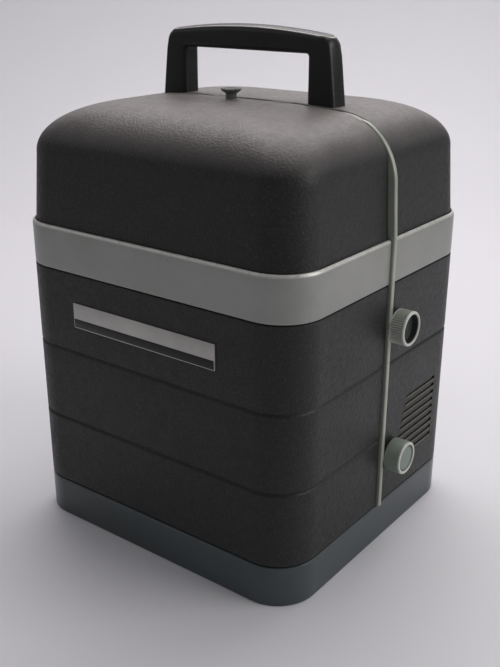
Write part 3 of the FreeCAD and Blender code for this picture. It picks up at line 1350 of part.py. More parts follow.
rack_pitch = "(2*pi*pinion_pitch/pinion_teeth)"
rack_centre = ("rack_x+rack_width/2", RACK_FACE + "+rack_bar/2")
rack_teeth = "(floor(lift_travel/%s)+5)" % rack_pitch
bar = plate_body("rack_bar", "YZ_Plane",
                 [(RACK_FACE, "pad_lift+1"), (RACK_FACE + "+rack_bar", "pad_lift+1"),
                  (RACK_FACE + "+rack_bar", "elevation_z+lift_travel+rack_spare"),
                  (RACK_FACE, "elevation_z+lift_travel+rack_spare")], "rack_width")
place(bar, "rack_x", "0", "0")
first_tooth = "(elevation_z-2*%s)" % rack_pitch
tooth_sketch = new_sketch(bar, "YZ_Plane")
draw_outline(tooth_sketch,
             [(RACK_FACE + "+0.2", first_tooth + "-tooth_root"),
              (RACK_FACE + "+0.2", first_tooth + "+tooth_root"),
              (RACK_FACE + "-tooth_height", first_tooth + "+tooth_tip"),
              (RACK_FACE + "-tooth_height", first_tooth + "-tooth_tip")])
tooth_pad = bar.newObject("PartDesign::Pad", "tooth")
tooth_pad.Profile = (tooth_sketch, [""])
tooth_pad.setExpression("Length", sized("rack_width"))
bar.Tip = tooth_pad
doc.recompute()
tooth_row = bar.newObject("PartDesign::LinearPattern", "teeth")
tooth_row.Originals = [tooth_pad]
tooth_row.Direction = (tooth_sketch, ["V_Axis"])
tooth_row.setExpression("Occurrences", sized(rack_teeth))
tooth_row.setExpression("Length", sized("(%s-1)*%s" % (rack_teeth, rack_pitch)))
bar.Tip = tooth_row
doc.recompute()
foot_pad = rod("Z", ("pad_lift", "pad_lift+pad_height"), rack_centre, "pad_radius")
sub_part("elevation_foot", joined([bar, foot_pad]))

guide_hole = block(("rack_x-part_gap", "rack_x+rack_width+part_gap"),
                   (RACK_FACE + "-tooth_height-part_gap", RACK_FACE + "+rack_bar+part_gap"),
                   ("base_top-1", "elevation_z"))
guide_block = block(("rack_x-4", "rack_x+rack_width+9"), ("plate_half", RACK_FACE + "+rack_bar+4"),
                    ("base_top+12", "base_top+22"))
guide_cheek = block(("rack_x+rack_width+5", "rack_x+rack_width+9"),
                    ("plate_half", "elevation_y+7"), ("base_top+12", "elevation_z+7"))
sub_part("rack_guide", cut(joined([guide_block, guide_cheek]), guide_hole,
                           rod("X", ("rack_x+rack_width+2", "rack_x+rack_width+12"), lift_at,
                               "shaft_radius+fit_gap")))

doc.recompute()

# Every object has to be sound before anything is written
faults = [thing.Name for thing in doc.Objects
          if "Invalid" in thing.State or "Error" in thing.State]
for thing in NODES:
    if thing.Shape.isNull() or not thing.Shape.isValid():
        faults.append(thing.Label)
if faults:
    raise SystemExit("faults in: " + ", ".join(faults))
os.makedirs("parts", exist_ok=True)
for thing in NODES:
    thing.Shape.exportStep(os.path.join("parts", thing.Label + ".step"))
print(len(NODES), "sub-parts written")
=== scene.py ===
import math
import bmesh
import bpy
import numpy as np
from mathutils import Matrix


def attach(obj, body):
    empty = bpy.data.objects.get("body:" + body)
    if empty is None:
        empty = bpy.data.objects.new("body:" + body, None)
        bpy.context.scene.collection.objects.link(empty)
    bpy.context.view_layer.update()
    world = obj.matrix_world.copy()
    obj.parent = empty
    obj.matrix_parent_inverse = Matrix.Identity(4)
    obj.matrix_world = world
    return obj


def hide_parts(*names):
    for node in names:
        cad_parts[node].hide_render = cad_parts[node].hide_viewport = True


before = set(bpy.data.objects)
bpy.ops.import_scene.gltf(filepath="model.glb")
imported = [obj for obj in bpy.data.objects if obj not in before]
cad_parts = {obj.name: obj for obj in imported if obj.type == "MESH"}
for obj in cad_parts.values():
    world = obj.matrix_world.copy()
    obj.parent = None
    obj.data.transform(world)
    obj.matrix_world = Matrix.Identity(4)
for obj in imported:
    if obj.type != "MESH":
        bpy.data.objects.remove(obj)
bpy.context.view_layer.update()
MM = 0.001

# The case, in millimetres, as the part's source has it
HALF_WIDTH = 104.0
HALF_DEPTH = 98.0
CORNER = 26.0
WALL = 2.6
BASE_TOP = 25.9
BASE_WALL = 3.0
BASE_DECK = 2.5
COVER_LOW = 26.7
GROOVES = (73.6, 122.1)
GROOVE_HALF = 0.8
GROOVE_DEPTH = 1.0
BAND_LOW = 172.2
BAND_TOP = 199.3
BAND_SKIN = 1.6
BAND_INSET = 1.7
LEAN_START = 2.3
TOP_INSET = 4.7
SPRING_Z = 238.5
TOP_REACH = 36.3
TOP_SQUARE = 2.28
TOP_OPEN = 0.2
CASE_TOP = 269.0
CROWN = 5.4
CROWN_REACH = 76.0
SEAM = 2.0

# Air slots, vents and inlet of the rear half
SLOT_FIRST, SLOT_PITCH, SLOT_HIGH, SLOT_COUNT = 48.8, 5.12, 2.0, 9
SLOT_FRONT, SLOT_STEP, SLOT_REAR = 16.7, 1.75, 68.0
VENT_LOW, VENT_COUNT = 204.0, 4
VENT_STARTS, VENT_LONG = (-44.0, -12.0, 20.0), 24.0
INLET_X, INLET_Z, INLET_WIDE, INLET_HIGH = -66.0, 100.0, 26.0, 18.0

# The bead, which is the rim of the mechanism plate
RIM_X = 104.9
RIM_SHOULDER = 103.0
RIM_TOP = 266.4
RIM_ROUND = 37.4


# Surfaces

def ease(distance, radius):
    """How far a rounded edge lies inside its flat face: the radius less the height of the
    quarter circle at that distance from the edge, and nothing past the radius."""
    short = np.clip(radius - distance, 0, radius)
    return radius - np.sqrt(radius ** 2 - short ** 2)


def quads(rows, columns, wrap_rows=False, wrap_columns=False):
    """Corner numbers of the quads of a grid, row by row."""
    row = np.arange(rows if wrap_rows else rows - 1)
    column = np.arange(columns if wrap_columns else columns - 1)
    row, column = np.meshgrid(row, column, indexing="ij")
    below, beside = (row + 1) % rows, (column + 1) % columns
    corners = (row * columns + column, row * columns + beside,
               below * columns + beside, below * columns + column)
    return np.stack(corners, -1).reshape(-1, 4)


def closed_grid(points, wrap_columns=True, wrap_rows=False):
    """Points and faces of a grid whose rows are rings. Its first and last rows are closed by a
    fan about their middle, unless the rows meet again."""
    rows, columns = points.shape[:2]
    faces = [quads(rows, columns, wrap_rows, wrap_columns)]
    flat = points.reshape(-1, 3)
    if not wrap_rows:
        for row, flip in ((0, True), (rows - 1, False)):
            middle = len(flat)
            flat = np.vstack([flat, points[row].mean(0)])
            ring = row * columns + np.arange(columns)
            after = np.roll(ring, -1)
            fan = np.stack([ring, after, np.full(columns, middle), np.full(columns, middle)], -1)
            faces.append(fan[:, ::-1] if flip else fan)
    return flat, np.vstack(faces)


def walled_grid(outer, inner, openings=(), ring=False):
    """A shell between two grids of the same size. A cell whose middle lies in an opening is left
    out, and every border between a kept cell and a missing one gets a wall from the outer grid
    to the inner one."""
    rows, columns = outer.shape[:2]
    if ring:
        outer = np.concatenate([outer, outer[:, :1]], 1)
        inner = np.concatenate([inner, inner[:, :1]], 1)
        columns += 1
    count = rows * columns
    faces = quads(rows, columns)
    middle = (outer[:-1, :-1] + outer[1:, 1:] + outer[:-1, 1:] + outer[1:, :-1]) / 4
    kept = np.ones((rows - 1, columns - 1), bool)
    for box in openings:
        low, high = np.array(box).T
        kept &= ~np.all((middle > low) & (middle < high), -1)
    chosen = faces[kept.ravel()]
    made = [chosen, chosen[:, ::-1] + count]
    numbers = np.arange(count).reshape(rows, columns)
    padded = np.zeros((rows + 1, columns + 1), bool)
    padded[1:-1, 1:-1] = kept
    if ring:
        padded[1:-1, 0] = kept[:, -1]
        padded[1:-1, -1] = kept[:, 0]
    across = padded[1:-1, :-1].astype(int) - padded[1:-1, 1:]
    along = padded[:-1, 1:-1].astype(int) - padded[1:, 1:-1]
    for sign in (1, -1):
        row, column = np.nonzero(across == sign)
        start, end = numbers[row, column], numbers[row + 1, column]
        wall = np.stack([start, end, end + count, start + count], -1)
        made.append(wall if sign > 0 else wall[:, ::-1])
        row, column = np.nonzero(along == sign)
        start, end = numbers[row, column], numbers[row, column + 1]
        wall = np.stack([end, start, start + count, end + count], -1)
        made.append(wall if sign > 0 else wall[:, ::-1])
    return np.concatenate([outer.reshape(-1, 3), inner.reshape(-1, 3)]), np.vstack(made)


def piece(name, parts, body, finishes, replaces=(), sharp=38):
    """Makes one object of closed surfaces, each turned so that its volume counts as positive,
    puts it on its body and gives it a finish for each surface."""
    mesh = bpy.data.meshes.new(name)
    built = bmesh.new()
    for index, (points, faces) in enumerate(parts):
        corners = points[faces]
        volume = np.einsum("ij,ij->i", corners[:, 0] + corners[:, 2],
                           np.cross(corners[:, 1] - corners[:, 0], corners[:, 2] - corners[:, 0])
                           + np.cross(corners[:, 2] - corners[:, 0],
                                      corners[:, 3] - corners[:, 0])).sum()
        part = bpy.data.meshes.new("part")
        order = faces if volume > 0 else faces[:, ::-1]
        part.from_pydata((points * MM).tolist(), [], order.tolist())
        part.polygons.foreach_set("material_index", np.full(len(part.polygons), index, np.int32))
        single = bmesh.new()
        single.from_mesh(part)
        bmesh.ops.remove_doubles(single, verts=single.verts, dist=2e-7)
        bmesh.ops.dissolve_degenerate(single, edges=single.edges, dist=1e-7)
        single.to_mesh(part)
        single.free()
        built.from_mesh(part)
        bpy.data.meshes.remove(part)
    built.to_mesh(mesh)
    built.free()
    mesh.shade_smooth()
    mesh.set_sharp_from_angle(angle=math.radians(sharp))
    for finish in finishes:
        mesh.materials.append(finish)
    thing = bpy.data.objects.new(name, mesh)
    bpy.context.scene.collection.objects.link(thing)
    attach(thing, body)
    if replaces:
        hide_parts(*replaces)
    return thing


def turned(axis, across, profile, turns=96, ripple=None):
    """A surface of revolution: each profile point is a run along the axis and a radius, and the
    ripple, if given, scales the radius round the turn."""
    profile = np.array(profile, float)
    angle = np.arange(turns) / turns * 2 * np.pi
    radius = profile[:, 1:2] * np.ones(turns)
    if ripple is not None:
        radius = radius + ripple(profile[:, 0:1], radius, angle)
    first, second = radius * np.cos(angle), radius * np.sin(angle)
    run = profile[:, 0:1] * np.ones(turns)
    a, b = across
    order = {"X": (run, a + first, b + second), "Y": (a + second, run, b + first),
             "Z": (a + first, b + second, run)}
    return closed_grid(np.stack(order[axis], -1))


def swept(path, side, section):
    """A closed section carried along a path. Each path point is given with the unit direction
    that the section's first coordinate follows; the second follows the given fixed side."""
    points, outward = path
    section = np.array(section, float)
    if section.ndim == 2:
        section = np.repeat(section[None], len(points), 0)
    grid = (points[:, None] + section[..., 0:1] * outward[:, None]
            + section[..., 1:2] * np.array(side, float))
    return closed_grid(grid)


def rounded_box(low, high, radius, steps=4):
    """A box whose four upright edges and top and bottom edges are rounded."""
    low, high = np.array(low, float), np.array(high, float)
    centre, half = (low + high) / 2, (high - low) / 2
    rise = np.linspace(-90, 90, 2 * steps + 2) * np.pi / 180
    turn = np.concatenate([np.linspace(0, 90, steps + 1) + 90 * quarter for quarter in range(4)])
    turn = turn * np.pi / 180
    signs_x = np.repeat([1, -1, -1, 1], steps + 1)
    signs_y = np.repeat([1, 1, -1, -1], steps + 1)
    around = radius * np.cos(rise)[:, None]
    x = centre[0] + signs_x * (half[0] - radius) + around * np.cos(turn)
    y = centre[1] + signs_y * (half[1] - radius) + around * np.sin(turn)
    z = centre[2] + np.sign(rise)[:, None] * (half[2] - radius) + radius * np.sin(rise)[:, None]
    return closed_grid(np.stack([x, y, z + 0 * x], -1))


# Finishes

class Finish:
    """A material put together from nodes, all of them on Object coordinates."""

    def __init__(self, name, colour, roughness, metallic=0.0, **plain):
        self.material = bpy.data.materials.new(name)
        self.material.use_nodes = True
        self.tree = self.material.node_tree
        self.shader = self.tree.nodes["Principled BSDF"]
        self.set("Base Color", (*colour, 1))
        self.set("Roughness", roughness)
        self.set("Metallic", metallic)
        for socket, value in plain.items():
            self.set(socket.replace("_", " "), value)
        self.place = self.tree.nodes.new("ShaderNodeTexCoord").outputs["Object"]

    def set(self, socket, value):
        """Sets a plain value or joins a wire to a socket of the shader."""
        if isinstance(value, bpy.types.NodeSocket):
            self.tree.links.new(value, self.shader.inputs[socket])
        else:
            self.shader.inputs[socket].default_value = value

    def node(self, kind, inputs, **settings):
        """A node with its settings, and its inputs set or wired."""
        made = self.tree.nodes.new(kind)
        for key, value in settings.items():
            setattr(made, key, value)
        for key, value in inputs.items():
            if isinstance(value, bpy.types.NodeSocket):
                self.tree.links.new(value, made.inputs[key])
            else:
                made.inputs[key].default_value = value
        return made

    def stretched(self, scale):
        """Object coordinates, longer or shorter along each axis."""
        return self.node("ShaderNodeMapping", {"Vector": self.place, "Scale": scale}).outputs[0]

    def noise(self, scale, detail=3.0, rough=0.55, place=None):
        """Soft noise of a size given in waves a metre."""
        return self.node("ShaderNodeTexNoise", {"Vector": place or self.place, "Scale": scale,
                                                "Detail": detail, "Roughness": rough}).outputs[0]

    def cells(self, scale, place=None, feature="SMOOTH_F1"):
        """Distance to the middle of the nearest grain."""
        return self.node("ShaderNodeTexVoronoi", {"Vector": place or self.place, "Scale": scale},
                         feature=feature).outputs["Distance"]

    def ramp(self, value, stops):
        """A value carried through stops of place and grey or colour."""
        made = self.node("ShaderNodeValToRGB", {"Fac": value})
        marks = made.color_ramp.elements
        while len(marks) < len(stops):
            marks.new(0.5)
        for mark, (place, tone) in zip(marks, stops):
            mark.position = place
            mark.color = (*tone, 1) if isinstance(tone, tuple) else (tone, tone, tone, 1)
        return made.outputs[0]

    def mix(self, share, first, second, kind="MIX"):
        """A blend of two colours."""
        made = self.node("ShaderNodeMix", {}, data_type="RGBA", blend_type=kind)
        for index, value in ((0, share), (6, first), (7, second)):
            if isinstance(value, bpy.types.NodeSocket):
                self.tree.links.new(value, made.inputs[index])
            elif index == 0:
                made.inputs[0].default_value = value
            else:
                made.inputs[index].default_value = (*value, 1)
        return made.outputs[2]

    def sum(self, first, second, kind="ADD"):
        """Two values put together."""
        made = self.node("ShaderNodeMath", {}, operation=kind)
        for index, value in enumerate((first, second)):
            if isinstance(value, bpy.types.NodeSocket):
                self.tree.links.new(value, made.inputs[index])
            else:
                made.inputs[index].default_value = value
        return made.outputs[0]

    def axis(self, letter):
        """One Object coordinate, in metres."""
        return self.node("ShaderNodeSeparateXYZ", {"Vector": self.place}).outputs[letter]

    def level(self, value, low, high, to_low=0.0, to_high=1.0):
        """A value carried from one span to another and held at its ends."""
        return self.node("ShaderNodeMapRange", {0: value, 1: low, 2: high, 3: to_low, 4: to_high},
                         clamp=True).outputs[0]

    def rough(self, height, strength, distance):
        """Relief in the surface from a height."""
        made = self.node("ShaderNodeBump", {"Height": height, "Strength": strength,
                                            "Distance": distance})
        self.set("Normal", made.outputs[0])
        return made.outputs[0]


def grained_plastic():
    """Charcoal plastic with a fine leather grain, with rubbed marks high up, and on its top a
    pale film that is partly dust and partly a painted sheen."""
    made = Finish("grained_plastic", (0.02, 0.02, 0.02), 0.5, Specular_IOR_Level=0.3)
    bent = made.noise(260, 2)
    place = made.node("ShaderNodeVectorMath", {0: made.place}, operation="ADD")
    wobble = made.node("ShaderNodeVectorMath", {0: made.node(
        "ShaderNodeTexNoise", {"Vector": made.place, "Scale": 420.0, "Detail": 2.0}).outputs[1],
        "Scale": 0.0009}, operation="SCALE").outputs[0]
    made.tree.links.new(wobble, place.inputs[1])
    grain = made.cells(820, place.outputs[0])
    fine = made.noise(1900, 2)
    patches = made.noise(14, 4, 0.6)
    specks = made.ramp(made.noise(900, 1), [(0.60, 0.0), (0.74, 1.0)])
    base = made.mix(made.ramp(patches, [(0.35, 0.0), (0.7, 1.0)]), (0.0086, 0.0096, 0.0095),
                    (0.0150, 0.0152, 0.0140))
    high = made.mix(made.ramp(grain, [(0.0, 0.45), (0.55, 0.0)]), base, (0.030, 0.0300, 0.0280))
    speckled = made.mix(made.sum(specks, 0.18, "MULTIPLY"), high, (0.12, 0.12, 0.115))
    scratch = made.ramp(made.noise(70, 6, 0.75, made.stretched((1.0, 1.0, 2.2))),
                        [(0.69, 0.0), (0.72, 1.0)])
    near_top = made.level(made.axis("Z"), 0.208, 0.265)
    marks = made.sum(scratch, near_top, "MULTIPLY")
    # Pale film on the top, by height: partly dust, partly a painted sheen where light glances off
    # the top.
    pale_mask = made.sum(made.level(made.axis("Z"), 0.246, 0.2675),
                    made.ramp(made.noise(55, 5, 0.65), [(0.3, 0.55), (0.7, 0.8)]), "MULTIPLY")
    dust_and_sheen = made.mix(pale_mask, speckled, (0.250, 0.226, 0.218))
    made.set("Base Color", made.mix(made.sum(marks, 0.55, "MULTIPLY"), dust_and_sheen,
                                    (0.30, 0.29, 0.28)))
    made.set("Roughness", made.level(made.sum(patches, bent, "MULTIPLY"), 0.12, 0.4, 0.40, 0.58))
    height = made.sum(made.ramp(grain, [(0.0, 1.0), (0.6, 0.0)]),
                      made.sum(fine, 0.35, "MULTIPLY"))
    made.rough(height, 0.55, 0.00022)
    return made.material


def smooth_plastic(name, colour, roughness, **plain):
    """Smooth moulded plastic with faint clouds and fine dust."""
    made = Finish(name, colour, roughness, **plain)
    clouds = made.noise(26, 4, 0.6)
    pale_mask = made.ramp(made.noise(1400, 2), [(0.62, 0.0), (0.78, 1.0)])
    pale = tuple(min(1.0, value * 1.5 + 0.012) for value in colour)
    deep = tuple(value * 0.82 for value in colour)
    toned = made.mix(made.ramp(clouds, [(0.3, 0.0), (0.7, 1.0)]), deep,
                     tuple(value * 1.12 for value in colour))
    made.set("Base Color", made.mix(made.sum(pale_mask, 0.25, "MULTIPLY"), toned, pale))
    made.set("Roughness", made.level(clouds, 0.3, 0.7, roughness * 0.85, roughness * 1.15))
    made.rough(made.noise(700, 2), 0.12, 0.0001)
    return made.material


def lipped_plastic(name, colour, edge):
    """Grey-green plastic of a knob, with a painted highlight, broken up by noise, on the lip at
    its outer end.
    """
    made = Finish(name, colour, 0.42)
    clouds = made.ramp(made.noise(60, 4, 0.6), [(0.3, 0.0), (0.7, 1.0)])
    toned = made.mix(clouds, tuple(value * 0.85 for value in colour),
                     tuple(value * 1.1 for value in colour))
    # The pale lip at the outer end is a painted highlight, broken up by noise.
    lip = made.level(made.axis("X"), edge, edge + 0.0006)
    painted_rim_highlight = made.sum(lip, made.ramp(made.noise(300, 4, 0.7), [(0.3, 0.6), (0.55, 1.0)]), "MULTIPLY")
    made.set("Base Color", made.mix(painted_rim_highlight, toned, (0.52, 0.545, 0.49)))
    made.rough(made.noise(700, 2), 0.12, 0.0001)
    return made.material


def satin_metal(name, colour, roughness, metallic, wear=0.0):
    """Satin metal with faint clouds, and small nicks where it is worn."""
    made = Finish(name, colour, roughness, metallic)
    clouds = made.noise(30, 5, 0.65)
    fine = made.noise(900, 2, 0.5)
    pale = tuple(min(1.0, value * 1.14) for value in colour)
    deep = tuple(value * 0.84 for value in colour)
    toned = made.mix(made.ramp(clouds, [(0.3, 0.0), (0.72, 1.0)]), deep, pale)
    if wear:
        nicks = made.ramp(made.noise(150, 5, 0.8), [(0.70, 0.0), (0.735, 1.0)])
        toned = made.mix(made.sum(nicks, wear, "MULTIPLY"), toned,
                         tuple(value * 0.3 for value in colour))
    made.set("Base Color", toned)
    made.set("Roughness", made.level(made.sum(clouds, fine, "MULTIPLY"), 0.1, 0.42,
                                     roughness * 0.8, min(1.0, roughness * 1.25)))
    made.rough(fine, 0.1, 0.0001)
    return made.material


def band_metal():
    """Silver paint of the band: greyer low down, with a painted highlight along its rounded top
    rim, broken up by noise, and nicked there.
    """
    made = Finish("band_metal", (0.3, 0.305, 0.29), 0.4, 0.45)
    clouds = made.noise(22, 5, 0.62)
    # The pale line on the rounded top rim is a painted highlight, broken up by noise.
    rim = made.level(made.axis("Z"), 0.1971, 0.1985)
    ragged = made.noise(240, 5, 0.75)
    painted_rim_highlight = made.sum(rim, made.ramp(ragged, [(0.30, 0.35), (0.5, 1.0)]), "MULTIPLY")
    nick = made.sum(made.ramp(made.noise(110, 5, 0.8), [(0.665, 0.0), (0.69, 1.0)]),
                    made.level(made.axis("Z"), 0.1938, 0.1973), "MULTIPLY")
    grey = made.mix(made.ramp(clouds, [(0.3, 0.0), (0.72, 1.0)]), (0.225, 0.235, 0.215),
                    (0.30, 0.302, 0.29))
    bright = made.mix(painted_rim_highlight, grey, (0.58, 0.575, 0.54))
    made.set("Base Color", made.mix(made.sum(nick, 0.8, "MULTIPLY"), bright, (0.06, 0.06, 0.055)))
    made.set("Roughness", made.level(clouds, 0.3, 0.7, 0.34, 0.46))
    made.rough(made.noise(650, 3), 0.12, 0.00012)
    return made.material


def clear_glass(name, tint):
    """Clear glass."""
    made = Finish(name, tint, 0.02, Transmission_Weight=1.0, IOR=1.5)
    return made.material


shell_finish = grained_plastic()
inside_finish = smooth_plastic("inside_plastic", (0.032, 0.033, 0.034), 0.5)
plinth_finish = smooth_plastic("plinth_plastic", (0.042, 0.054, 0.057), 0.32)
band_finish = band_metal()
bead_finish = satin_metal("bead_paint", (0.34, 0.365, 0.31), 0.36, 0.2, 0.3)
grip_finish = smooth_plastic("grip_plastic", (0.0095, 0.0105, 0.0100), 0.3,
                             Specular_IOR_Level=0.3)
line_finish = satin_metal("bright_line", (0.50, 0.50, 0.47), 0.35, 0.4)
head_finish = smooth_plastic("catch_plastic", (0.115, 0.125, 0.115), 0.4)
collar_finish = satin_metal("collar_metal", (0.24, 0.245, 0.23), 0.4, 0.5)
upper_knob_finish = lipped_plastic("upper_knob_plastic", (0.52, 0.54, 0.49), 0.1147)
lower_knob_finish = lipped_plastic("lower_knob_plastic", (0.235, 0.275, 0.235), 0.1155)
# A paler copy of the case plastic: a painted highlight on the slot lips.
lip_highlight_finish = smooth_plastic("slot_lip_painted_highlight", (0.085, 0.082, 0.064), 0.5)
# Dark sheet behind the air slots, standing in for the shade inside them.
slot_shade_finish = smooth_plastic("slot_painted_shade", (0.052, 0.050, 0.039), 0.6)
well_finish = smooth_plastic("well_plastic", (0.014, 0.017, 0.016), 0.5)
disc_finish = smooth_plastic("disc_plastic", (0.165, 0.20, 0.18), 0.45)
name_silver = satin_metal("name_silver", (0.42, 0.41, 0.39), 0.36, 0.5)
name_black = smooth_plastic("name_black", (0.008, 0.008, 0.008), 0.3,
                            Specular_IOR_Level=0.3)


# The case

def crown_rise(inset):
    """The slow crown of the top: it grows from nothing to its full height at its reach."""
    share = np.clip(inset / CROWN_REACH, 0, 1)
    return CROWN * share * (2 - share)


def wall_heights(grooves):
    """Heights at which the walls need a row, with how deep the outside lies there. A groove is
    steep above and slopes easily below, where it catches the light."""
    rows = [(COVER_LOW, 0.9), (COVER_LOW + 0.12, 0.4), (COVER_LOW + 0.4, 0.12),
            (COVER_LOW + 0.9, 0.0), (COVER_LOW + 1.6, 0.0)]
    marks = [SLOT_FIRST + SLOT_PITCH * step + rise for step in range(SLOT_COUNT)
             for rise in (0, SLOT_HIGH)]
    marks += [INLET_Z + INLET_HIGH / 2, 140.0, 160.0]
    rows += [(mark, 0.0) for mark in marks]
    for middle in grooves:
        rows += [(middle + GROOVE_HALF + run, depth) for run, depth in (
            (0.5, 0.0), (0.22, 0.03), (0.06, 0.16), (-0.02, 0.42), (-0.12, 0.86),
            (-0.3, GROOVE_DEPTH))]
        rows += [(middle - GROOVE_HALF - run, depth) for run, depth in (
            (1.3, 0.0), (0.95, 0.05), (0.6, 0.22), (0.25, 0.5), (-0.1, 0.82),
            (-0.4, GROOVE_DEPTH))]
    rows += [(BAND_LOW - 3, 0.0), (BAND_LOW - 1.2, 0.0), (BAND_LOW - 0.6, 0.0),
             (BAND_LOW - 0.25, 0.1), (BAND_LOW - 0.05, 0.35)]
    return sorted(set(rows))


def case_sections(grooves):
    """Sections of one half of the case, from its lower edge over the top to the seam: half
    width, half depth, corner and height, on the outside and the inside, with the outside's
    tilt."""
    outer, inner, tilt = [], [], []
    for height, depth in wall_heights(grooves):
        outer.append((HALF_WIDTH - depth, HALF_DEPTH - depth, CORNER - depth, height))
        inner.append((HALF_WIDTH - WALL, HALF_DEPTH - WALL, CORNER - WALL,
                      min(height, BAND_LOW - WALL)))
        tilt.append(0.0)

    def add(rows, skin, inset, opened, height):
        half_x = HALF_WIDTH - skin - inset
        half_y = HALF_DEPTH - skin - inset
        corner = max(0.0, min(CORNER - LEAN_START - skin + TOP_OPEN * opened, 0.9 * half_y,
                              half_y - SEAM))
        rows.append((half_x, half_y, corner, height))

    def wall_rows(height_out, height_in, inset):
        add(outer, 0.0, inset, 0.0, height_out)
        add(inner, WALL, inset, 0.0, height_in)
        tilt.append(0.0)

    wall_rows(BAND_LOW, BAND_LOW - WALL, BAND_INSET - 0.2)
    wall_rows(BAND_LOW + 0.2, BAND_LOW - WALL + 0.2, BAND_INSET)
    wall_rows(BAND_TOP - 2.0, BAND_TOP - 2.0, BAND_INSET)
    vents = [VENT_LOW + SLOT_PITCH * step + rise for step in range(VENT_COUNT)
             for rise in (0, SLOT_HIGH)]
    for height in [BAND_TOP - 1.0, BAND_TOP + 1.5] + vents + [225.0, 231.0, 235.0, SPRING_Z]:
        share = (height - BAND_TOP + 1.0) / (SPRING_Z - BAND_TOP + 1.0)
        wall_rows(height, height, LEAN_START + (TOP_INSET - LEAN_START) * share)
    rise = CASE_TOP - CROWN - SPRING_Z
    power = 2 / TOP_SQUARE

    def top_rows(share_up, drawn, drawn_in, lean):
        add(outer, 0.0, TOP_INSET + drawn, drawn,
            SPRING_Z + rise * share_up + crown_rise(drawn))
        add(inner, WALL, TOP_INSET + drawn_in, drawn_in,
            SPRING_Z + (rise - WALL) * share_up + crown_rise(drawn_in))
        tilt.append(lean)

    for degrees in np.linspace(0, 90, 37)[1:]:
        turn = math.radians(degrees)
        share_in = 1 - math.cos(turn) ** power
        share_up = math.sin(turn) ** power
        top_rows(share_up, TOP_REACH * share_in, (TOP_REACH - WALL) * share_in, turn)
    last_out = HALF_DEPTH - TOP_INSET - SEAM
    last_in = last_out - WALL
    for share in (0.08, 0.16, 0.25, 0.4, 0.55, 0.7, 0.84, 0.93, 0.965, 0.982, 0.992, 0.997, 1.0):
        top_rows(1.0, TOP_REACH + (last_out - TOP_REACH) * share,
                 TOP_REACH - WALL + (last_in - TOP_REACH + WALL) * share, math.pi / 2)
    return np.array(outer), np.array(inner), np.array(tilt)


def half_plan(sections, side, side_shares, end_shares, arc_steps=14):
    """Points of one half of the case: from the seam along the right side, round the corner,
    along the end, and back along the left side to the seam."""
    half_x, half_y, corner, height = (sections[:, index:index + 1] for index in range(4))
    straight = half_y - corner
    run = SEAM + (straight - SEAM) * side_shares
    flat = (half_x - corner) * end_shares
    turn = np.linspace(0, np.pi / 2, arc_steps + 2)[1:-1]
    side_x = half_x + 0 * run
    arc_x = half_x - corner + corner * np.cos(turn)
    arc_y = straight + corner * np.sin(turn)
    x = np.concatenate([side_x, arc_x, flat, -arc_x[:, ::-1], -side_x[:, ::-1]], 1)
    y = np.concatenate([run, arc_y, half_y + 0 * flat, arc_y[:, ::-1], run[:, ::-1]], 1)
    return np.stack([x, side * y, height + 0 * x], -1)


def eased_at_seam(points, tilt, radius):
    """Rounds the outside edge along the seam: each point sinks by the ease of its distance from
    the seam, against the section's own slope."""
    sink = ease(np.abs(points[..., 1]) - SEAM, radius)
    points = points.copy()
    points[..., 0] -= np.sign(points[..., 0]) * sink * np.cos(tilt)[:, None]
    points[..., 2] -= sink * np.sin(tilt)[:, None]
    return points


STRAIGHT = HALF_DEPTH - CORNER - SEAM
SLOT_STARTS = [SLOT_FRONT + SLOT_STEP * step for step in range(SLOT_COUNT)]
side_shares = np.array([0, 0.1, 0.3, 0.6, 1.0, 1.8, 5.0]
                       + [mark - SEAM for mark in SLOT_STARTS + [40.0, SLOT_REAR]]
                       + [STRAIGHT]) / STRAIGHT
vent_ends = [start + run for start in VENT_STARTS for run in (0, VENT_LONG)]
inlet_ends = [INLET_X - INLET_WIDE / 2, INLET_X + INLET_WIDE / 2]
end_marks = sorted(set(vent_ends + inlet_ends + [-78.0, 78.0, 0.0, 60.0]))
end_shares = np.array(end_marks[::-1]) / (HALF_WIDTH - CORNER)

side_slots = [((side * HALF_WIDTH - 6, side * HALF_WIDTH + 6), (start, SLOT_REAR),
               (SLOT_FIRST + SLOT_PITCH * step, SLOT_FIRST + SLOT_PITCH * step + SLOT_HIGH))
              for side in (-1, 1) for step, start in enumerate(SLOT_STARTS)]
back_vents = [((start, start + VENT_LONG), (83, 103),
               (VENT_LOW + SLOT_PITCH * step, VENT_LOW + SLOT_PITCH * step + SLOT_HIGH))
              for start in VENT_STARTS for step in range(VENT_COUNT)]
inlet_opening = [((inlet_ends[0], inlet_ends[1]), (83, 103),
                  (INLET_Z - INLET_HIGH / 2, INLET_Z + INLET_HIGH / 2))]

for name, side, body, stands_for, grooves, openings in (
        ("cover_shell", -1, "front_cover", "front_cover", GROOVES, ()),
        ("rear_shell", 1, "chassis", "rear_housing", GROOVES[1:],
         side_slots + back_vents + inlet_opening)):
    outer_rows, inner_rows, row_tilt = case_sections(grooves)
    outside = eased_at_seam(half_plan(outer_rows, side, side_shares, end_shares),
                            row_tilt, 0.8)
    inside = half_plan(inner_rows, side, side_shares, end_shares)
    piece(name, [walled_grid(outside, inside, openings)], body, [shell_finish],
          [stands_for])

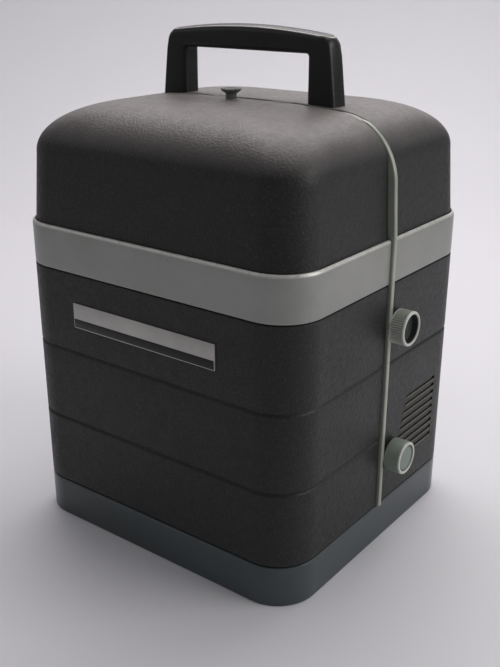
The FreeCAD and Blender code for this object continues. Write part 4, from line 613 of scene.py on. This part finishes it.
# The band, in two pieces
band_profile = [(1.1, 172.65), (0.55, 172.7), (0.2, 172.9), (0.04, 173.25), (0.0, 173.8),
                (0.0, 175.3), (0.0, 192.3), (0.0, 196.9), (0.03, 197.4), (0.16, 198.0),
                (0.42, 198.6), (0.8, 199.05), (1.2, 199.25), (1.5, 199.3)]
band_outer = np.array([(HALF_WIDTH - inset, HALF_DEPTH - inset, CORNER - inset, height)
                       for inset, height in band_profile])
band_inner = np.array([(HALF_WIDTH - BAND_SKIN, HALF_DEPTH - BAND_SKIN, CORNER - BAND_SKIN,
                        height) for inset, height in band_profile])
for name, side, body, stands_for in (("cover_band", -1, "front_cover", "front_band"),
                                     ("rear_shell_band", 1, "chassis", "rear_band")):
    outside = eased_at_seam(half_plan(band_outer, side, side_shares, end_shares),
                            np.zeros(len(band_outer)), 0.5)
    inside = half_plan(band_inner, side, side_shares, end_shares)
    piece(name, [walled_grid(outside, inside)], body, [band_finish], [stands_for])


def ring_plan(sections, side_marks, end_marks, arc_steps=14):
    """Points of the whole plan, from the right side's rear end round by the front."""
    half_x, half_y, corner, height = (sections[:, index:index + 1] for index in range(4))
    up = (half_y - corner) * side_marks
    flat = (half_x - corner) * end_marks
    turn = np.linspace(0, np.pi / 2, arc_steps + 2)[1:-1]
    arc_x = half_x - corner + corner * np.cos(turn)
    arc_y = half_y - corner + corner * np.sin(turn)
    x = np.concatenate([half_x + 0 * up, arc_x, flat, -arc_x[:, ::-1], -half_x + 0 * up,
                        -arc_x, -flat, arc_x[:, ::-1]], 1)
    y = np.concatenate([-up, -arc_y, -half_y + 0 * flat, -arc_y[:, ::-1], up, arc_y,
                        half_y + 0 * flat, arc_y[:, ::-1]], 1)
    return np.stack([x, y, height + 0 * x], -1)


def plinth_sections():
    """Sections of the plinth: up its side, over its edge, and across its deck to the middle."""
    rows = [(1.4, 0.0, BASE_WALL, 0.0), (0.5, 0.15, BASE_WALL, 0.6), (0.12, 0.5, BASE_WALL, 1.2),
            (0.0, 1.1, BASE_WALL, 2.0), (0.0, 2.5, BASE_WALL, 5.0),
            (0.0, 12.0, BASE_WALL, 12.0), (0.0, BASE_TOP - 2.5, BASE_WALL, 18.0),
            (0.0, BASE_TOP - 1.4, BASE_WALL, 19.0), (0.12, BASE_TOP - 0.75, BASE_WALL, 19.5),
            (0.5, BASE_TOP - 0.2, BASE_WALL, 20.0), (1.2, BASE_TOP, BASE_WALL, 20.5),
            (2.2, BASE_TOP, BASE_WALL + 0.2, BASE_TOP - BASE_DECK)]
    rows += [(inset, BASE_TOP, inset + 1, BASE_TOP - BASE_DECK)
             for inset in (5.0, 8.0, 11.5, 15.0, 19.0, 24.0, 40.0, 70.0, 96.0)]
    outer = [(HALF_WIDTH - a, HALF_DEPTH - a, max(0.3, CORNER - a), z) for a, z, b, w in rows]
    inner = [(HALF_WIDTH - b, HALF_DEPTH - b, max(0.3, CORNER - b), w) for a, z, b, w in rows]
    outer.append((HALF_WIDTH - HALF_DEPTH, 0.0, 0.0, BASE_TOP))
    inner.append((HALF_WIDTH - HALF_DEPTH, 0.0, 0.0, BASE_TOP - BASE_DECK))
    return np.array(outer), np.array(inner)


plinth_outer, plinth_inner = plinth_sections()
hook_ends = [-64.5, -55.5, 55.5, 64.5]
plinth_sides = np.array([-72.0, -71.5, -20.0, 0.0, 14.0, 26.0, 71.5, 72.0]) / 72
plinth_ends = np.array(sorted(hook_ends + [-78.0, -77.5, 0.0, 77.5, 78.0])[::-1]) / 78
hook_slots = [((low, high), (-HALF_DEPTH + 8, -HALF_DEPTH + 11.5), (BASE_TOP - 3, BASE_TOP + 1))
              for low, high in ((-64.5, -55.5), (55.5, 64.5))]
piece("plinth", [walled_grid(ring_plan(plinth_outer, plinth_sides, plinth_ends),
                             ring_plan(plinth_inner, plinth_sides, plinth_ends),
                             hook_slots, ring=True)],
      "chassis", [plinth_finish], ["base_plinth"])


# The bead round the rim of the plate

def rim_path():
    """The plate's rim from the right foot over the top to the left foot, with the outward
    direction: straight up, leaning in above the band, a quarter circle, straight across, and
    down the same way."""
    spring, corner = RIM_TOP - RIM_ROUND, RIM_SHOULDER - RIM_ROUND
    rise = np.concatenate([np.linspace(COVER_LOW - 0.5, BAND_TOP, 14),
                           np.linspace(BAND_TOP, spring, 7)[1:]])
    lean_in = np.clip((rise - BAND_TOP) / (spring - BAND_TOP), 0, 1)
    turn = np.linspace(0, np.pi / 2, 41)[1:]
    across = np.linspace(corner, 0, 8)[1:]
    x = np.concatenate([RIM_X + (RIM_SHOULDER - RIM_X) * lean_in,
                        corner + RIM_ROUND * np.cos(turn), across])
    z = np.concatenate([rise, spring + RIM_ROUND * np.sin(turn), np.full(7, RIM_TOP)])
    lean = np.concatenate([0 * rise, turn, np.full(7, np.pi / 2)])
    out_x, out_z = np.cos(lean), np.sin(lean)
    x = np.concatenate([x, -x[-2::-1]])
    z = np.concatenate([z, z[-2::-1]])
    out = np.stack([np.concatenate([out_x, -out_x[-2::-1]]), 0 * x,
                    np.concatenate([out_z, out_z[-2::-1]])], -1)
    return np.stack([x, 0 * x, z], -1), out


def bead_sections(path):
    """The bead's section at each place of the path: a flattened round that stands 1 mm out of
    the rim, and sinks into it where the rim passes over the top."""
    angles = np.linspace(0, 2 * np.pi, 33)[:-1]
    out = np.where(np.cos(angles) > 0, 0.9 * np.cos(angles), np.cos(angles)) + 0.1
    wide = 1.66 * np.sign(np.sin(angles)) * np.abs(np.sin(angles)) ** 0.6
    sunk = 1.7 * np.clip((84 - np.abs(path[:, 0])) / 10, 0, 1) * (path[:, 2] > 240)
    return np.stack([out[None] - sunk[:, None], wide[None] + 0 * sunk[:, None]], -1)


path, outward = rim_path()
piece("plate_bead", [swept((path, outward), (0, 1, 0), bead_sections(path))], "chassis",
      [bead_finish])


# Nameplate: a bare plate, silver above and black below, with a thin silver border
NAME_X, NAME_Z = (-55.8, 53.5), (138.9, 154.6)
NAME_BACK, NAME_FRONT = -HALF_DEPTH + 0.2, -HALF_DEPTH - 0.75


def upright_box(x, y, z, radius):
    """A rounded box between three spans."""
    return rounded_box((x[0], y[0], z[0]), (x[1], y[1], z[1]), radius)


name_border = 0.55
name_split = NAME_Z[0] + 5.9
piece("name_plate", [
    upright_box(NAME_X, (NAME_FRONT, NAME_BACK), NAME_Z, 0.3),
    upright_box((NAME_X[0] + name_border, NAME_X[1] - name_border),
                (NAME_FRONT - 0.04, NAME_BACK - 0.4), (NAME_Z[0] + name_border, name_split), 0.02),
], "front_cover", [name_silver, name_black], ["nameplate"])


# Handle

HANDLE_X = -5.0
HANDLE_HALF, HANDLE_FLARE, HANDLE_LEG = 60.9, 4.4, 15.1
HANDLE_TOP, HANDLE_DROP, HANDLE_UNDER = 311.0, 4.5, 296.2
HANDLE_FRONT, HANDLE_BACK = 2.3, 16.8
HANDLE_ROOT = 263.0
HANDLE_ROUND, HANDLE_INNER_ROUND = 7.5, 2.0
GRIP_DOME, GRIP_EDGE, GRIP_UNDER_EDGE = 1.4, 2.0, 3.0
GRIP_MIDDLE = (HANDLE_BACK + HANDLE_FRONT) / 2
GRIP_HALF = (HANDLE_BACK - HANDLE_FRONT) / 2


def handle_lines():
    """The arch's outer line and inner line, from the right foot over the grip to the left foot:
    straight leaning legs, quarter circles at the shoulders and a shallow arc across the top."""
    turn = np.linspace(0, np.pi / 2, 14)
    crown = (HANDLE_HALF ** 2 + HANDLE_DROP ** 2) / (2 * HANDLE_DROP)
    spring = HANDLE_TOP - HANDLE_DROP - HANDLE_ROUND + 0.9
    flat = HANDLE_HALF - HANDLE_ROUND
    leg_z = np.linspace(HANDLE_ROOT, spring, 9)
    lean = (spring - leg_z) / (spring - HANDLE_ROOT)
    grip_x = np.linspace(flat, 0, 15)[1:]
    over = HANDLE_TOP - crown + np.sqrt(crown ** 2 - grip_x ** 2)
    rise = spring + HANDLE_ROUND - (HANDLE_TOP - crown + math.sqrt(crown ** 2 - flat ** 2))
    outer_x = np.concatenate([HANDLE_HALF + HANDLE_FLARE * lean,
                              flat + HANDLE_ROUND * np.cos(turn[1:]), grip_x])
    outer_z = np.concatenate([leg_z, spring + HANDLE_ROUND * np.sin(turn[1:]),
                              over + rise * (grip_x / flat) ** 2])
    inside = HANDLE_HALF - HANDLE_LEG
    corner_x, corner_z = inside - HANDLE_INNER_ROUND, HANDLE_UNDER - HANDLE_INNER_ROUND
    inner_x = np.concatenate([np.full(9, inside), corner_x + HANDLE_INNER_ROUND * np.cos(turn[1:]),
                              np.linspace(corner_x, 0, 15)[1:]])
    inner_z = np.concatenate([np.linspace(HANDLE_ROOT, corner_z, 9),
                              corner_z + HANDLE_INNER_ROUND * np.sin(turn[1:]),
                              np.full(14, HANDLE_UNDER)])
    half = np.stack([outer_x, outer_z, inner_x, inner_z], -1)
    return np.concatenate([half, (half * (-1, 1, -1, 1))[-2::-1]])


def grip_sink(off, height):
    """How far the outside lies below its middle line, at a distance to the front or back: a
    dome, which fades out down the legs, and a rounded edge."""
    dome = GRIP_DOME * (0.25 + 0.75 * np.clip((height - 296) / 9, 0, 1))
    return dome * (off / 6) ** 2 + ease(GRIP_HALF - np.abs(off), GRIP_EDGE)


def handle_surface():
    """The arch as one sweep between its outer and inner lines, domed across and rounded at its
    edges."""
    outer_x, outer_z, inner_x, inner_z = handle_lines().T[..., None]
    steps = np.linspace(0, np.pi / 2, 6)
    top_off = np.concatenate([[0.0, 2.0, 3.6, 4.6],
                              GRIP_HALF - GRIP_EDGE * (1 - np.sin(np.linspace(0, np.pi / 2, 8)))])
    low_in = np.concatenate([GRIP_UNDER_EDGE * (1 - np.cos(steps))[::-1], [0.0]])
    low_off = np.concatenate([GRIP_HALF - GRIP_UNDER_EDGE * (1 - np.sin(steps)[::-1]),
                              [GRIP_HALF - GRIP_UNDER_EDGE * 1.5]])
    reach = np.hypot(outer_x - inner_x, outer_z - inner_z)
    share = np.concatenate([grip_sink(top_off, outer_z) / reach, 1 - low_in / reach], 1)
    off = np.concatenate([top_off, low_off])
    share = np.concatenate([share, share[:, :0:-1]], 1)
    off = np.concatenate([-off, off[:0:-1]]) + 0 * share
    x = outer_x * (1 - share) + inner_x * share
    z = outer_z * (1 - share) + inner_z * share
    return closed_grid(np.stack([HANDLE_X + x, GRIP_MIDDLE + off, z], -1))


piece("grip", [handle_surface()], "chassis", [grip_finish], ["handle"], sharp=50)

LINE_OFF, LINE_END = 5.9, 59.4


def grip_line():
    """The bright line: a thin rounded cord on a long oval that lies on the domed top and curls
    over both shoulders. Its place is measured along the arch's outer line from the middle."""
    lines = handle_lines()
    step = np.hypot(*np.diff(lines[:, :2], axis=0).T)
    run = np.concatenate([[0.0], np.cumsum(step)])
    run -= run[-1] / 2
    straight = np.linspace(-1, 1, 61) * (LINE_END - LINE_OFF)
    turn = np.linspace(-np.pi / 2, np.pi / 2, 17)[1:-1]
    end = LINE_END - LINE_OFF + LINE_OFF * np.cos(turn)
    along = np.concatenate([straight, end, straight[::-1], -end])
    off = np.concatenate([np.full(61, -LINE_OFF), LINE_OFF * np.sin(turn), np.full(61, LINE_OFF),
                          -LINE_OFF * np.sin(turn)])

    def on_grip(along, off):
        found = [np.interp(-along, run, line) for line in lines.T]
        share = grip_sink(off, found[1]) / np.hypot(found[0] - found[2], found[1] - found[3])
        return np.stack([HANDLE_X + found[0] * (1 - share) + found[2] * share,
                         GRIP_MIDDLE + off, found[1] * (1 - share) + found[3] * share], -1)

    points = on_grip(along, off)
    forward = np.roll(points, -1, 0) - np.roll(points, 1, 0)
    forward /= np.linalg.norm(forward, axis=1)[:, None]
    inward = on_grip(along * 0.97, off * 0.97) - points
    beside = inward - forward * (inward * forward).sum(1)[:, None]
    beside /= np.linalg.norm(beside, axis=1)[:, None]
    upward = np.cross(forward, beside)
    angle = np.arange(10) / 10 * 2 * np.pi
    wide, high = 0.36, 0.26
    grid = (points[:, None] + beside[:, None] * (wide * np.cos(angle))[:, None]
            + upward[:, None] * (high * np.sin(angle))[:, None])
    return closed_grid(grid, wrap_rows=True)


piece("grip_bright_line", [grip_line()], "chassis", [line_finish], ["handle_stripe"])


# Catch button and collar

LATCH_X, LATCH_Y = -5.0, -9.0


def scallops(count, depth):
    """Finger scallops: shallow hollows round the turn, deepest on the widest part."""
    def ripple(run, radius, angle):
        widest = radius.max()
        share = np.clip((radius - 0.6 * widest) / (0.4 * widest), 0, 1)
        return -depth * share * (0.5 + 0.5 * np.cos(count * angle)) ** 2
    return ripple


piece("catch_head", [turned("Z", (LATCH_X, LATCH_Y), [
    (265.0, 3.3), (272.3, 3.3), (272.6, 3.6), (273.0, 4.4), (273.5, 5.2), (274.0, 5.8),
    (274.5, 6.15), (274.9, 6.15), (275.15, 5.95), (275.25, 5.55), (275.2, 5.1), (275.0, 4.5),
    (274.8, 3.6), (274.7, 2.2), (274.7, 0.4)], 96, scallops(12, 0.7))],
      "cover_catch", [head_finish], ["latch_button"])
piece("catch_collar", [turned("Z", (LATCH_X, LATCH_Y), [
    (265.4, 3.95), (268.8, 3.95), (269.1, 3.9), (269.3, 3.8), (269.35, 3.65), (269.3, 3.5),
    (269.1, 3.42), (265.4, 3.42)], 72)],
      "front_cover", [collar_finish], ["latch_bush"])


# Knobs

KNOB_IN, KNOB_R = 105.4, 10.6
UPPER_KNOB, LOWER_KNOB = (8.0, 145.2), (11.5, 58.3)


def ribs(count, depth, start, end):
    """Ribs round a knob between two runs: narrow grooves that fade out at both ends and leave
    flat-topped ribs between them."""
    def ripple(run, radius, angle):
        fade = np.clip((run - start) / 0.5, 0, 1) * np.clip((end - run) / 0.5, 0, 1)
        wave = np.clip(1.25 * np.abs(np.cos(count * angle / 2)) ** 1.6 - 0.12, 0, 1)
        on_side = (radius > 0.9 * radius.max())
        return -depth * fade * wave * on_side
    return ripple


upper_side = [(KNOB_IN + 0.7 + 0.5 * step, KNOB_R) for step in range(16)]
upper_profile = ([(KNOB_IN, 3.0), (KNOB_IN, 9.6), (KNOB_IN + 0.2, 10.2), (KNOB_IN + 0.45, 10.5)]
                 + upper_side
                 + [(KNOB_IN + run, radius) for run, radius in (
                     (9.0, 10.6), (9.4, 10.55), (9.8, 10.35), (10.05, 10.05), (10.15, 9.7),
                     (10.15, 9.45), (10.05, 9.15), (9.8, 8.95), (9.4, 8.85), (9.0, 8.8),
                     (5.6, 8.5), (5.6, 3.0))])
piece("upper_knob", [turned("X", UPPER_KNOB, upper_profile, 736, ribs(46, 0.95, KNOB_IN + 0.5,
                                                                      KNOB_IN + 9.0))],
      "main_drive", [upper_knob_finish], ["inching_knob"], sharp=30)
piece("upper_knob_well", [turned("X", UPPER_KNOB, [(KNOB_IN + run, radius) for run, radius in (
    (5.2, 0.5), (5.2, 8.77), (9.3, 8.84), (9.3, 8.55), (6.0, 8.2), (5.7, 7.8), (5.65, 2.4),
    (6.3, 2.2), (6.5, 1.8), (6.55, 0.4))], 72)],
      "main_drive", [well_finish])

lower_profile = [(KNOB_IN + run, radius) for run, radius in (
    (0.0, 3.0), (0.0, 9.7), (0.15, 10.2), (0.5, 10.5), (1.0, 10.6), (5.6, 10.6), (9.4, 10.6),
    (10.1, 10.5), (10.6, 10.25), (10.9, 9.9), (11.0, 9.5), (11.0, 9.0), (10.9, 8.7),
    (10.6, 8.5), (9.8, 8.4), (9.0, 8.4), (9.0, 3.0))]
piece("lower_knob", [turned("X", LOWER_KNOB, lower_profile, 240)],
      "elevation_knob", [lower_knob_finish], ["elevation_knob"], sharp=30)
piece("lower_knob_disc", [turned("X", LOWER_KNOB, [(KNOB_IN + run, radius) for run, radius in (
    (8.8, 0.5), (8.8, 7.7), (10.0, 7.7), (10.2, 7.6), (10.3, 7.3), (10.32, 6.0),
    (10.34, 0.4))], 96)], "elevation_knob", [disc_finish])

# Lips under the air slots, which catch the light; their plastic is paler than the case's, a
# painted highlight
lips = []
for side in (-1, 1):
    for step, start in enumerate(SLOT_STARTS):
        z = SLOT_FIRST + SLOT_PITCH * step
        x = side * HALF_WIDTH
        span = (x - 1.2, x + 0.45) if side > 0 else (x - 0.45, x + 1.2)
        lips.append(upright_box(span, (start - 0.4, SLOT_REAR - 1.6), (z - 0.95, z + 0.1), 0.38))
lip_points, lip_faces, offset = [], [], 0
for points, faces in lips:
    lip_points.append(points)
    lip_faces.append(faces + offset)
    offset += len(points)
piece("slot_lips", [(np.vstack(lip_points), np.vstack(lip_faces))], "chassis", [lip_highlight_finish])
# Dark sheets just behind the air slots, which stand in for the shade inside them.
for name, side in (("right_slot_shade_sheet", 1), ("left_slot_shade_sheet", -1)):
    span = sorted((side * (HALF_WIDTH - 0.9), side * (HALF_WIDTH - 1.4)))
    piece(name, [upright_box(span, (SLOT_FRONT - 1.5, SLOT_REAR - 2.0),
                             (SLOT_FIRST - 1.5, SLOT_FIRST + SLOT_PITCH * SLOT_COUNT), 0.15)],
          "chassis", [slot_shade_finish])


# Pieces kept from the CAD model, with their finishes

plate_paint = satin_metal("plate_paint", (0.30, 0.325, 0.275), 0.42, 0.2)
steel = satin_metal("bright_steel", (0.56, 0.57, 0.58), 0.28, 1.0)
zinc = satin_metal("zinc_sheet", (0.50, 0.51, 0.50), 0.38, 0.9)
brass = satin_metal("brass", (0.62, 0.46, 0.18), 0.3, 1.0)
dark_metal = satin_metal("dark_metal", (0.05, 0.05, 0.052), 0.42, 0.6)
iron = satin_metal("laminated_iron", (0.16, 0.16, 0.165), 0.5, 0.8)
copper = satin_metal("coil_copper", (0.42, 0.16, 0.06), 0.35, 0.9)
rubber = smooth_plastic("black_rubber", (0.014, 0.014, 0.014), 0.75)
nylon = smooth_plastic("white_nylon", (0.62, 0.60, 0.54), 0.45)
black_plastic = smooth_plastic("black_plastic", (0.016, 0.016, 0.017), 0.38)
grey_plastic = smooth_plastic("grey_plastic", (0.16, 0.17, 0.165), 0.45)
ceramic = smooth_plastic("ceramic", (0.66, 0.64, 0.58), 0.4)
glass = clear_glass("clear_glass", (0.97, 0.985, 0.98))
kept_finishes = {
    "mechanism_plate": plate_paint, "bottom_sheet": zinc, "rubber_feet": rubber,
    "cover_hooks": steel, "spring_bracket": zinc, "latch_spring": steel, "latch_catch": steel,
    "case_screws": steel, "main_shaft": steel, "shaft_bearings": zinc, "shutter": dark_metal,
    "claw_cam": brass, "film_claw": steel, "aperture_plate": steel, "pressure_plate": steel,
    "lens_holder": grey_plastic, "lens_barrel": dark_metal, "lens_glass": glass,
    "focus_knob": black_plastic, "lamp_house": dark_metal, "condenser_lens": glass,
    "projection_lamp": glass, "lamp_socket": ceramic, "feed_sprocket": black_plastic,
    "feed_wheel": nylon, "takeup_sprocket": black_plastic, "takeup_wheel": nylon,
    "film_guides": black_plastic, "supply_arm": grey_plastic, "supply_spindle": steel,
    "takeup_spindle": steel, "takeup_reel": grey_plastic, "motor_can": zinc,
    "motor_shaft": steel, "motor_pulley": brass, "motor_bracket": zinc, "drive_belt": rubber,
    "fan_wheel": black_plastic, "fan_housing": zinc, "transformer_core": iron,
    "transformer_coil": copper, "power_inlet": black_plastic, "inlet_pins": brass,
    "switch_body": black_plastic, "control_knob": grey_plastic, "elevation_foot": zinc,
    "elevation_pinion": nylon, "rack_guide": grey_plastic,
}
for name, finish in kept_finishes.items():
    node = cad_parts[name]
    node.data.materials.clear()
    node.data.materials.append(finish)


# Floor, backdrop, lamps and camera

def stage_finish():
    """Pale floor and backdrop."""
    made = Finish("studio_paper", (0.69, 0.68, 0.715), 0.7)
    return made.material


def backdrop():
    """A floor that turns up into a wall: straight, a quarter circle, and straight again, carried
    sideways."""
    turn = np.linspace(0, np.pi / 2, 17)
    along = np.concatenate([[-2500.0], 700 + 350 * np.sin(turn), [1050.0]])
    height = np.concatenate([[0.0], 350 - 350 * np.cos(turn), [2600.0]])
    across = np.array([-3200.0, 3200.0])
    grid = np.stack(np.broadcast_arrays(across[None, :], along[:, None], height[:, None]), -1)
    mesh = bpy.data.meshes.new("backdrop")
    mesh.from_pydata((grid.reshape(-1, 3) * MM).tolist(), [],
                     quads(len(along), 2)[:, ::-1].tolist())
    mesh.shade_smooth()
    mesh.materials.append(stage_finish())
    thing = bpy.data.objects.new("backdrop", mesh)
    bpy.context.scene.collection.objects.link(thing)
    thing.rotation_euler = (0, 0, math.radians(38))


def lamp(name, place, aim, size, power, tint):
    """A square area lamp at a place, facing a point."""
    data = bpy.data.lights.new(name, "AREA")
    data.size, data.energy, data.color = size, power, tint
    thing = bpy.data.objects.new(name, data)
    bpy.context.scene.collection.objects.link(thing)
    way = np.array(aim, float) - np.array(place, float)
    way /= np.linalg.norm(way)
    beside = np.cross(way, (0, 0, 1.0))
    beside /= np.linalg.norm(beside)
    turn = Matrix(np.stack([beside, np.cross(beside, way), -way], 1).tolist())
    thing.matrix_world = Matrix.Translation(place) @ turn.to_4x4()


def camera():
    """The camera of the photograph: bearings in degrees, focal length in picture points."""
    azimuth, elevation, roll = (math.radians(value) for value in (37.09, 21.42, 0.149))
    focal, distance, shift_x, shift_y = 923.57, 597.07, -2.05, 30.33
    back = np.array([math.sin(azimuth) * math.cos(elevation),
                     -math.cos(azimuth) * math.cos(elevation), math.sin(elevation)])
    right = np.array([math.cos(azimuth), math.sin(azimuth), 0.0])
    up = np.cross(back, right)
    level = right * math.cos(roll) + up * math.sin(roll)
    upward = -right * math.sin(roll) + up * math.cos(roll)
    centre = (np.array([0, 0, 150.0]) - shift_x * level - shift_y * upward + distance * back) * MM
    data = bpy.data.cameras.new("camera")
    data.sensor_width = 36.0
    data.lens = focal * 36.0 / 667.0
    data.clip_start, data.clip_end = 0.02, 20.0
    thing = bpy.data.objects.new("camera", data)
    bpy.context.scene.collection.objects.link(thing)
    turn = Matrix(np.stack([level, upward, back], 1).tolist())
    thing.matrix_world = Matrix.Translation(centre.tolist()) @ turn.to_4x4()
    bpy.context.scene.camera = thing


backdrop()
lamp("overhead", (-0.3, 0.55, 1.2), (0, 0, 0.2), 1.3, 16.0, (1.0, 0.975, 0.965))
lamp("left_front", (-1.1, -0.9, 0.9), (0, 0, 0.13), 1.0, 1.2, (1.0, 0.99, 0.985))
lamp("right_rear", (1.15, 0.45, 0.75), (0, 0, 0.14), 0.9, 8.0, (1.0, 0.985, 0.97))
camera()

scene = bpy.context.scene
world = bpy.data.worlds.new("studio")
world.use_nodes = True
tree = world.node_tree
light = tree.nodes["Background"]
light.inputs["Color"].default_value = (0.95, 0.94, 0.97, 1)
light.inputs["Strength"].default_value = 0.26
scene.world = world
scene.view_settings.view_transform = "Standard"

bpy.context.view_layer.update()
